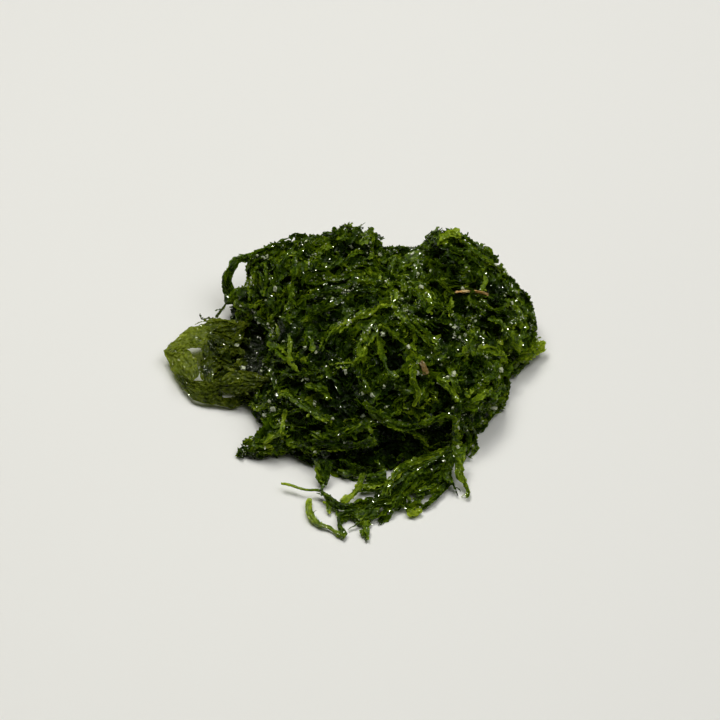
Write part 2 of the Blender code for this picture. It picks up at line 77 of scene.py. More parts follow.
LOBES = {
    "lower_left_tuft": [
        (-34, -24, 9, 8, 30, 8),
        (-27, -19, 9, 8, 35, 9),
    ],
    "centre_tangle": [
        (6, 10, 44, 45, 0, 34),
        (38.5, -1, 21, 33, -8, 22),
        (22, 54, 20, 21, 0, 26),
        (-30, -8, 10, 9, 0, 12),
    ],
    "right_tangle": [
        (42, 53, 20, 22, 14, 28),
        (56, 32, 14, 22, 4, 21),
    ],
    "back_left_tangle": [
        (-21, 45, 29, 26, 15, 30),
        (-5, 55, 28, 20, 0, 32),
    ],
    "front_tangle": [(4, -21, 34, 20, 0, 16)],
}

# Hanks that lie on the bundles, seen from above: half width, then x and y of each point of the route.
HANKS = [
    (3, -26, -13, -31, -20, -36, -28), (1, -36, -18, -39, -25, -43, -31), (2, -42, -30, -34, -30, -26, -28),
    (1, -8, 3, 3, 10, 17, 15), (6, 15, 16, 21, 7, 28, 1, 33, -5, 38, -16), (7, 6, 8, 4, -2, 3, -12, 5, -22),
    (6, 12, 10, 16, -2, 20, -12, 20, -22), (7, -5, 12, -17, 8, -27, -2, -30, -12),
    (7, 8, 30, -6, 27, -20, 22, -33, 12), (7, 30, 32, 18, 35, 4, 36, -8, 33),
    (7, 26, 24, 34, 18, 42, 8, 50, -4), (5, 48, 16, 54, 6, 55, -8, 48, -24),
    (3, 4, -18, 12, -26, 24, -28, 36, -24, 48, -16), (7, 12, 58, 22, 50, 30, 44),
    (7, 30, 60, 40, 62, 52, 56, 60, 46), (5, 30, 68, 40, 72, 52, 66, 60, 54),
    (5, 62, 50, 66, 38, 66, 26, 60, 16), (5, 36, 46, 44, 42, 54, 42), (5, 52, 34, 56, 26, 58, 18),
    (7, 4, 46, -12, 42, -26, 34, -38, 28), (7, 6, 56, -10, 54, -28, 46, -42, 38),
    (6, 6, 64, -10, 66, -26, 62, -38, 54), (6, -30, 60, -40, 54, -47, 44, -44, 32),
    (7, 18, 66, 4, 74, -12, 76, -28, 70), (3, -30, -14, -18, -26, -4, -33, 10, -34, 22, -31),
    (4, -24, -22, -10, -36, 6, -40, 20, -36),
]
HANK_RISE = 2.2                # how far a hank stands out of the heap
LUMP_SIZE, LUMP_RISE = 9.0, 1.6
PLEAT_SIZE, PLEAT_RISE = 3.0, 0.5

# Where the heap's outline lies further in than its lobes do: x and y in pixels, radius and depth in
# millimetres, one spot after another.
TRIMS = [
    264, 249, 6, 1.6, 275, 245, 7, 3, 287, 241, 7, 1.8, 300, 236, 7, 1.2, 312, 236, 7, 2.6, 324, 235, 7, 2.8,
    336, 231, 7, 1.8, 385, 246, 6, 0.8, 395, 249, 7, 5, 405, 250, 7, 5.2, 414, 249, 7, 3.8, 466, 236, 6, 1.4,
    474, 243, 7, 3.6, 484, 248, 7, 3, 492, 258, 7, 4.2, 501, 268, 7, 3.6, 510, 277, 6, 1.5, 514, 388, 5, 2,
    511, 398, 6, 3.6, 507, 408, 7, 4.2, 500, 418, 7, 7.4, 492, 426, 7, 9.4, 484, 434, 7, 8.4,
    524, 369, 6, 2.6, 516, 378, 6, 2.2, 477, 443, 6, 4, 255, 414, 5, 2.2, 255, 425, 5, 3.5, 253, 434, 5, 3.2,
    247, 443, 4, 1, 238, 268, 4, 6, 240, 278, 5, 7, 244, 284, 4, 4, 228, 313, 4, 6, 224, 315, 4, 6,
]

# Hollows among the fronds, in the same way. The fronds in them are also given painted shade.
HOLLOWS = [
    257, 336, 4.5, 6, 264, 346, 4.5, 6, 258, 357, 4, 5, 269, 389, 4, 4, 280, 368, 2.5, 3, 301, 365, 2.5, 3,
    320, 359, 3.5, 4.5, 334, 359, 3.5, 4.5, 346, 350, 3.5, 4, 346, 395, 4, 5, 336, 394, 3.5, 4,
    352, 380, 3, 3.5, 296, 420, 4, 5.5, 304, 419, 4, 5.5, 366, 408, 3.5, 4.5, 392, 364, 4, 5.5,
    388, 395, 4, 5.5, 396, 345, 3, 3.5, 420, 384, 2.5, 4.5, 406, 384, 2, 3, 443, 388, 3, 4.5, 440, 409, 3, 4,
    436, 330, 3, 3.5, 418, 317, 2.5, 4, 429, 318, 2.5, 4, 371, 303, 3, 4.5, 358, 305, 2, 3, 345, 251, 3.5, 5,
    396, 256, 2.5, 3.5, 433, 287, 1.8, 3, 441, 263, 3, 3.5, 455, 274, 2.5, 3, 475, 284, 2.5, 4,
    495, 290, 4, 6, 497, 303, 4, 6, 462, 312, 3.5, 4, 488, 331, 4, 6, 497, 327, 4, 5, 486, 342, 3.5, 5,
    511, 358, 2.5, 5, 476, 364, 3, 4, 467, 375, 2.5, 3.5, 452, 357, 3, 4, 467, 386, 2, 3, 270, 268, 2.5, 3.5,
    267, 280, 2, 3, 281, 281, 2, 3, 299, 285, 2.5, 3.5, 325, 290, 2.5, 3.5, 322, 297, 2.5, 3.5,
    303, 300, 3, 3, 335, 318, 2.5, 3.5, 246, 298, 2, 3, 258, 296, 2, 3, 345, 284, 2, 3.5, 390, 436, 5, 7,
    403, 441, 6, 8, 416, 447, 5, 7, 390, 452, 5, 6, 356, 456, 5, 5, 340, 456, 4, 4, 435, 437, 3.5, 5,
    447, 428, 2, 3.5, 320, 462, 3, 3, 436, 255, 2.5, 3, 317, 322, 2.8, 3, 310, 328, 2.6, 3, 322, 330, 2.8, 3,
    441, 340, 2.6, 3, 347, 342, 2.8, 3, 335, 348, 3, 3, 347, 357, 2.8, 3, 313, 358, 2.6, 2.5,
    305, 354, 2.8, 2.5, 297, 343, 2.2, 2.5, 315, 346, 2.2, 2.5, 249, 362, 3, 4, 259, 370, 2.5, 3,
    343, 411, 2.8, 3, 329, 412, 2.6, 3, 351, 410, 2.6, 2.5, 316, 429, 2.6, 2.5, 308, 430, 2.8, 2.5,
    324, 404, 2.4, 2.5, 344, 402, 3, 3, 338, 288, 1.9, 2.5, 295, 385, 2.6, 2, 287, 379, 2.6, 2,
    353, 389, 3, 3, 389, 467, 2.6, 2, 398, 460, 2.6, 2.5, 380, 468, 2.6, 2, 368, 456, 3, 3, 382, 390, 2.6, 3,
    445, 404, 2.2, 2.5, 330, 449, 2.6, 2,
]
# How far a hollow reaches, by its radius, and how much darker its painted shade makes the fronds at its
# middle.
HOLLOW_REACH, HOLLOW_PAINTED_SHADE = 1.2, 0.20

# Where the fronds are lighter or darker over a wide patch: the darker patches are painted shade where the
# heap lies deeper, the lighter ones a lighter green. x and y in pixels, radius in millimetres and change of
# tone, one patch after another.
TONE_AND_SHADE_PATCHES = [
    284, 345, 12, -0.15, 350, 312, 9, -0.14, 395, 365, 8, -0.12, 440, 335, 9, -0.18, 390, 290, 7, -0.08,
    250, 262, 10, 0.08, 438, 292, 6, 0.08, 470, 235, 9, 0.08, 518, 345, 9, 0.06, 505, 395, 9, 0.09,
    350, 225, 8, 0.06, 405, 420, 8, 0.05, 300, 440, 8, 0.06, 400, 446, 8, -0.14, 495, 300, 6, -0.12,
    325, 385, 9, -0.08,
]

# The ribbons that cover the heap, from the deepest to the highest: their number, rows of points, lengths,
# levels over the skin, widths, mean tone and its spread, points across, and glow of the tips. Then how they
# are laid, and how they are crumpled.
LAYERS = {
    # Partly painted shade: the deeper layers have a lower mean tone, darker under the upper ones.
    "under": (420, 21, (20, 34), (-6.0, -3.5), (3.0, 5.0), (0.26, 0.06), 3, 0.0,
              {"turn": 0.6}, {"ruffle": 0.8}),
    "middle": (620, 41, (24, 42), (-4.0, -1.6), (2.2, 4.4), (0.34, 0.08), 4, 0.0,
               {"turn": 0.5}, {}),
    "over": (560, 35, (8, 22), (-1.8, 0.5), (0.9, 2.8), (0.42, 0.13), 4, 0.1,
             {"turn": 1.2, "wander": 1.4, "depth": 2.0}, {}),
    "blades": (260, 25, (9, 19), (-1.4, 0.3), (3.2, 6.0), (0.41, 0.09), 7, 0.1,
               {"turn": 1.0, "wander": 1.2, "depth": 1.0}, {"curl": 0.8, "ruffle": 0.55, "wave_length": 3.2}),
    "frizz": (900, 13, (3, 7), (-0.9, 0.6), (0.8, 2.0), (0.54, 0.15), 3, 0.12,
              {"turn": 1.6, "wander": 2.0, "depth": 1.0}, {"curl": 1.4, "ruffle": 0.6}),
}
HANK_ROPES, HANK_RIBBONS, HANK_SPRIGS = 165, 4, 1000
LOOSE_SHARE = 0.12             # the share of ribbons whose far tip stands off the heap
# How deep the core of each bundle lies under the skin, and its tone: near black, painted shade deep inside
# the heap.
CORE_LEVEL, CORE_SHADE_TONE = -5.5, 0.05

PIXEL_STEP = 1.2               # between the points of a route in the photograph
STRAND_PITCH = 0.62            # between the points of a strand on the heap
STRAND_SLACK = 0.8             # how far a strand may pass over its level
TRACED_DARKEST, TRACED_CONTRAST = 0.08, 0.66
# Strands that the photograph shows on the heap: number of ribbons, width of the whole, width of a ribbon,
# tone, level over the heap's skin, then x and y in pixels of each point of the route.
TRACED = [
    (4, 1.6, 1.8, 0.42, 2.6, 331, 238, 338, 231, 344, 226, 349, 220),
    (3, 0.8, 1.7, 0.46, 2.8, 341, 240, 346, 232, 349, 226, 350, 219),
    (4, 1.4, 1.8, 0.42, 2.6, 347, 243, 353, 236, 357, 230, 362, 226),
    (2, 0.5, 1.2, 0.4, 2.2, 333, 236, 334, 231, 332, 225),
    (4, 1.8, 2.2, 0.66, 2.6, 361, 246, 366, 238, 369, 232, 374, 228),
    (3, 1.2, 1.6, 0.42, 2.4, 368, 248, 372, 241, 376, 237, 383, 235),
    (4, 1.6, 2, 0.44, 2.6, 428, 250, 428, 241, 429, 234, 428, 228),
    (5, 2.2, 2.2, 0.46, 2.6, 433, 246, 434, 238, 437, 232, 441, 228),
    (4, 2.4, 2.6, 0.86, 2.4, 441, 243, 447, 236, 453, 233, 461, 238),
    (5, 2.4, 1.9, 0.36, 0.8, 286, 245, 297, 242, 308, 240, 320, 237),
    (5, 2.2, 1.9, 0.42, 2.4, 521, 290, 527, 299, 531, 310, 533, 322),
    (3, 1.4, 1.6, 0.44, 2, 486, 250, 491, 256, 498, 263),
    (3, 1.6, 1.6, 0.5, 1, 243, 262, 246, 272, 248, 283, 250, 292, 251, 300),
    (3, 1.4, 1.6, 0.55, 1.4, 252, 262, 259, 258, 267, 257, 273, 263, 276, 271, 274, 281, 271, 286),
    (2, 1, 1.5, 0.5, 1, 249, 277, 254, 272, 260, 274, 263, 283, 262, 296),
    (2, 1, 1.5, 0.45, 0.6, 266, 263, 266, 275, 267, 286, 264, 297),
    (3, 1.8, 1.7, 0.6, 1.6, 301, 243, 294, 249, 287, 257, 283, 266, 280, 275, 275, 284),
    (3, 1.6, 1.7, 0.65, 1.8, 303, 249, 296, 255, 292, 262, 295, 270, 292, 280, 290, 290, 291, 300, 294, 309),
    (2, 1, 1.4, 0.45, 1, 303, 255, 302, 265, 303, 275, 300, 286),
    (4, 2.2, 1.8, 0.5, 1, 290, 241, 281, 243, 272, 247, 263, 251, 252, 254, 243, 256),
    (3, 1.6, 1.6, 0.5, 1.2, 308, 268, 318, 269, 328, 268, 338, 264, 346, 260),
    (2, 1.2, 1.5, 0.42, 1, 346, 285, 337, 290, 328, 292, 318, 295, 308, 300),
    (3, 1.6, 1.6, 0.5, 1.2, 346, 296, 336, 302, 327, 308, 318, 312, 309, 317, 300, 322),
    (3, 2, 2.6, 0.78, 1.4, 236, 305, 243, 309, 251, 309, 259, 306),
    (2, 1, 1.6, 0.62, 1.6, 291, 296, 289, 305, 288, 315, 291, 324),
    (3, 1.6, 1.6, 0.5, 1.2, 284, 298, 280, 307, 273, 317, 268, 326),
    (2, 1.2, 1.6, 0.5, 1.2, 268, 309, 266, 318, 270, 327),
    (3, 1.8, 1.8, 0.4, 0.8, 300, 230, 309, 227, 318, 226, 328, 224, 338, 222, 347, 221, 356, 226),
    (2, 1, 1.5, 0.35, 1.2, 289, 238, 293, 234, 301, 229), (1, 0, 1, 0.35, 1.6, 334, 230, 333, 228, 331, 225),
    (1, 0, 1.4, 0.35, 1.6, 350, 226, 349, 223, 349, 219),
    (1, 0, 1.4, 0.35, 1.4, 356, 226, 361, 226, 364, 228),
    (2, 1.4, 2, 0.7, 2, 369, 228, 373, 234, 371, 242, 371, 250, 373, 258),
    (1, 0, 1.4, 0.3, 2, 374, 234, 378, 235, 383, 234),
    (3, 1.4, 1.6, 0.55, 1.4, 363, 252, 356, 252, 350, 256, 345, 262, 340, 265),
    (3, 1.4, 1.6, 0.35, 0.6, 378, 244, 388, 246, 397, 248, 405, 250, 411, 250, 418, 247, 427, 246, 437, 243),
    (4, 2.6, 2, 0.6, 1.2, 387, 250, 390, 258, 391, 267, 390, 276),
    (2, 1.2, 1.6, 0.5, 1.2, 374, 262, 382, 267, 390, 272, 398, 277),
    (3, 1.6, 1.8, 0.6, 1.4, 358, 281, 369, 282, 380, 284, 388, 287),
    (2, 1.2, 1.8, 0.75, 2.2, 384, 276, 388, 284, 393, 290, 396, 297, 393, 302, 398, 308),
    (4, 2, 1.9, 0.8, 2.8, 338, 332, 346, 325, 354, 320, 363, 316, 372, 312, 381, 309, 390, 308, 397, 309),
    (3, 1.6, 1.8, 0.7, 2.4, 397, 309, 403, 316, 409, 323, 414, 331, 416, 338, 413, 346, 411, 353),
    (3, 1.4, 1.7, 0.62, 2.2, 402, 312, 410, 318, 418, 325, 427, 333, 434, 340, 440, 348),
    (2, 1.2, 1.6, 0.6, 2, 395, 311, 402, 320, 411, 328, 420, 334, 429, 342, 437, 350),
    (3, 1.6, 1.8, 0.78, 2.4, 383, 327, 391, 334, 400, 341, 407, 348, 412, 354),
    (2, 1.2, 1.5, 0.6, 1.5, 403, 274, 403, 283, 405, 291),
    (2, 1, 1.6, 0.62, 1.6, 417, 262, 421, 270, 424, 279),
    (2, 1, 1.7, 0.72, 2, 427, 281, 435, 280, 443, 284, 449, 289, 455, 293),
    (3, 1.6, 1.7, 0.6, 1.6, 425, 287, 428, 296, 431, 304, 433, 313),
    (3, 1.6, 1.7, 0.5, 1.2, 335, 295, 343, 290, 351, 286, 360, 285),
    (3, 1.6, 1.7, 0.5, 1.2, 345, 300, 355, 293, 366, 290, 376, 291),
    (2, 1.2, 1.5, 0.55, 1.5, 409, 282, 411, 290, 408, 298, 399, 300),
    (3, 1.6, 1.7, 0.45, 1, 436, 246, 446, 247, 455, 250, 464, 255),
    (4, 2, 1.8, 0.5, 0.8, 427, 231, 437, 229, 447, 229, 456, 231, 464, 236, 471, 241, 478, 247, 482, 254),
    (3, 1.8, 2.4, 0.82, 1.6, 445, 232, 452, 233, 460, 236),
    (1, 0, 1.3, 0.55, 1.5, 483, 256, 483, 249, 481, 241),
    (1, 0, 1.2, 0.4, 1.5, 491, 258, 489, 252, 487, 247),
    (3, 1.4, 1.7, 0.68, 1.6, 470, 249, 478, 255, 486, 260, 494, 265, 501, 270, 508, 276),
    (1, 0, 2.8, 1, 2.2, 502, 267, 505, 267, 507, 273),
    (1, 0, 1.9, 0.92, 3, 482, 268, 485, 274, 486, 281, 483, 287, 482, 291),
    (3, 1.6, 1.7, 0.5, 1.2, 450, 250, 458, 253, 467, 257, 476, 261, 484, 266),
    (4, 2, 1.8, 0.5, 0.6, 500, 272, 508, 276, 513, 281, 517, 288, 524, 293, 530, 299, 534, 308, 536, 318,
     535, 328, 533, 338),
    (2, 1.2, 1.6, 0.7, 2, 453, 297, 451, 306, 450, 316),
    (2, 1.2, 1.8, 0.7, 2, 470, 296, 472, 304, 478, 310, 484, 317),
    (3, 1.4, 1.7, 0.66, 1.8, 481, 300, 487, 306, 494, 310, 501, 308, 506, 303, 514, 304),
    (3, 1.4, 1.8, 0.74, 2.2, 488, 320, 496, 321, 503, 326, 508, 332, 511, 340, 515, 346, 520, 352),
    (2, 1.2, 1.5, 0.55, 1.3, 505, 280, 508, 288, 512, 293, 518, 295),
    (1, 0, 1.4, 0.6, 1.2, 533, 330, 537, 326, 541, 324),
    (2, 1, 2, 0.75, 2.2, 472, 336, 470, 342, 466, 348, 463, 353),
    (4, 2.4, 2.4, 0.8, 1.8, 480, 350, 489, 350, 498, 353, 506, 359),
    (2, 1.2, 1.6, 0.5, 1.4, 497, 361, 495, 370, 494, 380, 496, 391),
    (4, 2, 1.8, 0.5, 0.6, 507, 364, 507, 374, 508, 384, 507, 394, 505, 402, 500, 409),
    (3, 1.8, 1.8, 0.55, 0.8, 528, 358, 524, 363, 520, 369, 513, 374),
    (3, 1.6, 1.7, 0.62, 1.6, 449, 366, 452, 375, 456, 384, 459, 393),
    (3, 1.4, 1.8, 0.78, 2.2, 437, 380, 444, 382, 450, 388, 454, 395, 457, 402),
    (3, 1.4, 1.7, 0.5, 1.8, 457, 398, 458, 410, 456, 422, 455, 434, 455, 443),
    (2, 1.2, 1.6, 0.65, 1.6, 466, 402, 476, 400, 484, 394, 492, 388),
    (3, 1.6, 1.7, 0.58, 1.4, 461, 413, 468, 410, 477, 409, 486, 412, 494, 414),
    (2, 1.2, 1.6, 0.55, 1.4, 488, 402, 495, 396, 500, 389),
    (3, 1.6, 1.6, 0.5, 0.6, 480, 419, 488, 417, 496, 413, 502, 409),
    (3, 1.6, 1.7, 0.5, 0.8, 470, 420, 473, 430, 477, 438, 479, 446, 476, 453, 469, 457),
    (3, 1.6, 1.7, 0.58, 1, 462, 424, 466, 434, 468, 444, 466, 454, 462, 462),
    (2, 1, 1.6, 0.6, 1.8, 289, 333, 291, 342, 290, 352, 290, 361, 294, 367, 299, 372),
    (2, 1, 1.5, 0.55, 1.6, 262, 361, 272, 361, 282, 361, 290, 360),
    (3, 1.6, 1.6, 0.5, 1.2, 272, 364, 273, 373, 275, 381, 277, 389),
    (2, 1.2, 1.6, 0.5, 1.2, 280, 377, 290, 374, 302, 374, 313, 374),
    (3, 1.2, 1.9, 0.72, 2.2, 277, 396, 285, 392, 290, 397, 297, 402, 305, 407, 313, 412, 320, 417, 328, 421),
    (2, 1, 1.6, 0.6, 1.4, 288, 414, 296, 411, 305, 408),
    (2, 0.8, 1.8, 0.95, 2.4, 286, 409, 285, 418, 283, 426, 281, 432, 275, 435, 269, 439, 264, 443),
    (3, 1.4, 1.7, 0.6, 1.2, 262, 419, 270, 415, 278, 413, 285, 412),
    (3, 1.8, 2, 0.88, 1.2, 249, 402, 254, 407, 262, 407, 268, 404),
    (4, 2.6, 2.2, 0.68, 2, 306, 384, 312, 387, 320, 389, 327, 393, 328, 400),
    (3, 1.8, 1.8, 0.68, 1.6, 322, 350, 325, 341, 329, 333, 334, 326),
    (3, 3, 3.2, 0.66, 1.6, 271, 343, 276, 349, 282, 355, 286, 360),
    (2, 1.2, 1.6, 0.6, 1.4, 308, 332, 310, 342, 311, 352),
    (2, 1.2, 1.6, 0.6, 1.2, 232, 337, 238, 328, 245, 322, 252, 318),
    (6, 5, 2.2, 0.62, 1.6, 373, 321, 369, 328, 366, 337, 363, 347, 361, 357, 359, 366),
    (2, 0.8, 1.7, 0.68, 2.4, 376, 324, 379, 333, 380, 343, 381, 352, 384, 361, 386, 369, 391, 374, 399, 377),
    (3, 1.4, 1.9, 0.78, 2.4, 411, 352, 416, 358, 417, 365, 413, 372, 413, 380, 416, 389, 417, 398, 414, 407),
    (3, 2.4, 2.2, 0.78, 2.2, 403, 372, 407, 366, 412, 360, 418, 357),
    (3, 1.6, 1.8, 0.6, 1.8, 356, 368, 360, 377, 364, 385, 369, 391),
    (5, 2.4, 2, 0.66, 2.6, 364, 401, 370, 408, 378, 415, 387, 421, 396, 425, 406, 427, 416, 425, 424, 424,
     432, 420, 440, 416, 449, 415, 455, 417),
    (3, 1.4, 1.8, 0.62, 2, 398, 428, 408, 431, 416, 435, 423, 441, 428, 447),
    (3, 2, 2.2, 0.72, 1.8, 336, 366, 343, 365, 350, 366),
    (6, 4.6, 2.2, 0.6, 2, 312, 437, 322, 437, 333, 437, 344, 434, 354, 430, 364, 427, 375, 424),
    (5, 4.2, 2.2, 0.55, 1.6, 318, 446, 330, 446, 342, 446, 354, 445, 366, 443, 376, 440),
    (2, 0.8, 1.4, 0.35, 0.6, 340, 459, 350, 464, 360, 468, 373, 468, 385, 466),
    (3, 1.2, 1.6, 0.52, 1.2, 286, 441, 294, 444, 303, 445, 311, 448, 318, 447),
    (3, 1.6, 1.8, 0.45, 0.4, 292, 449, 300, 455, 307, 461, 313, 467),
    (3, 1.8, 2, 0.4, 0.2, 340, 472, 350, 476, 360, 475, 370, 471),
    (2, 0.8, 1.6, 0.5, 2.6, 455, 404, 454, 415, 454, 426, 455, 437, 453, 447),
]

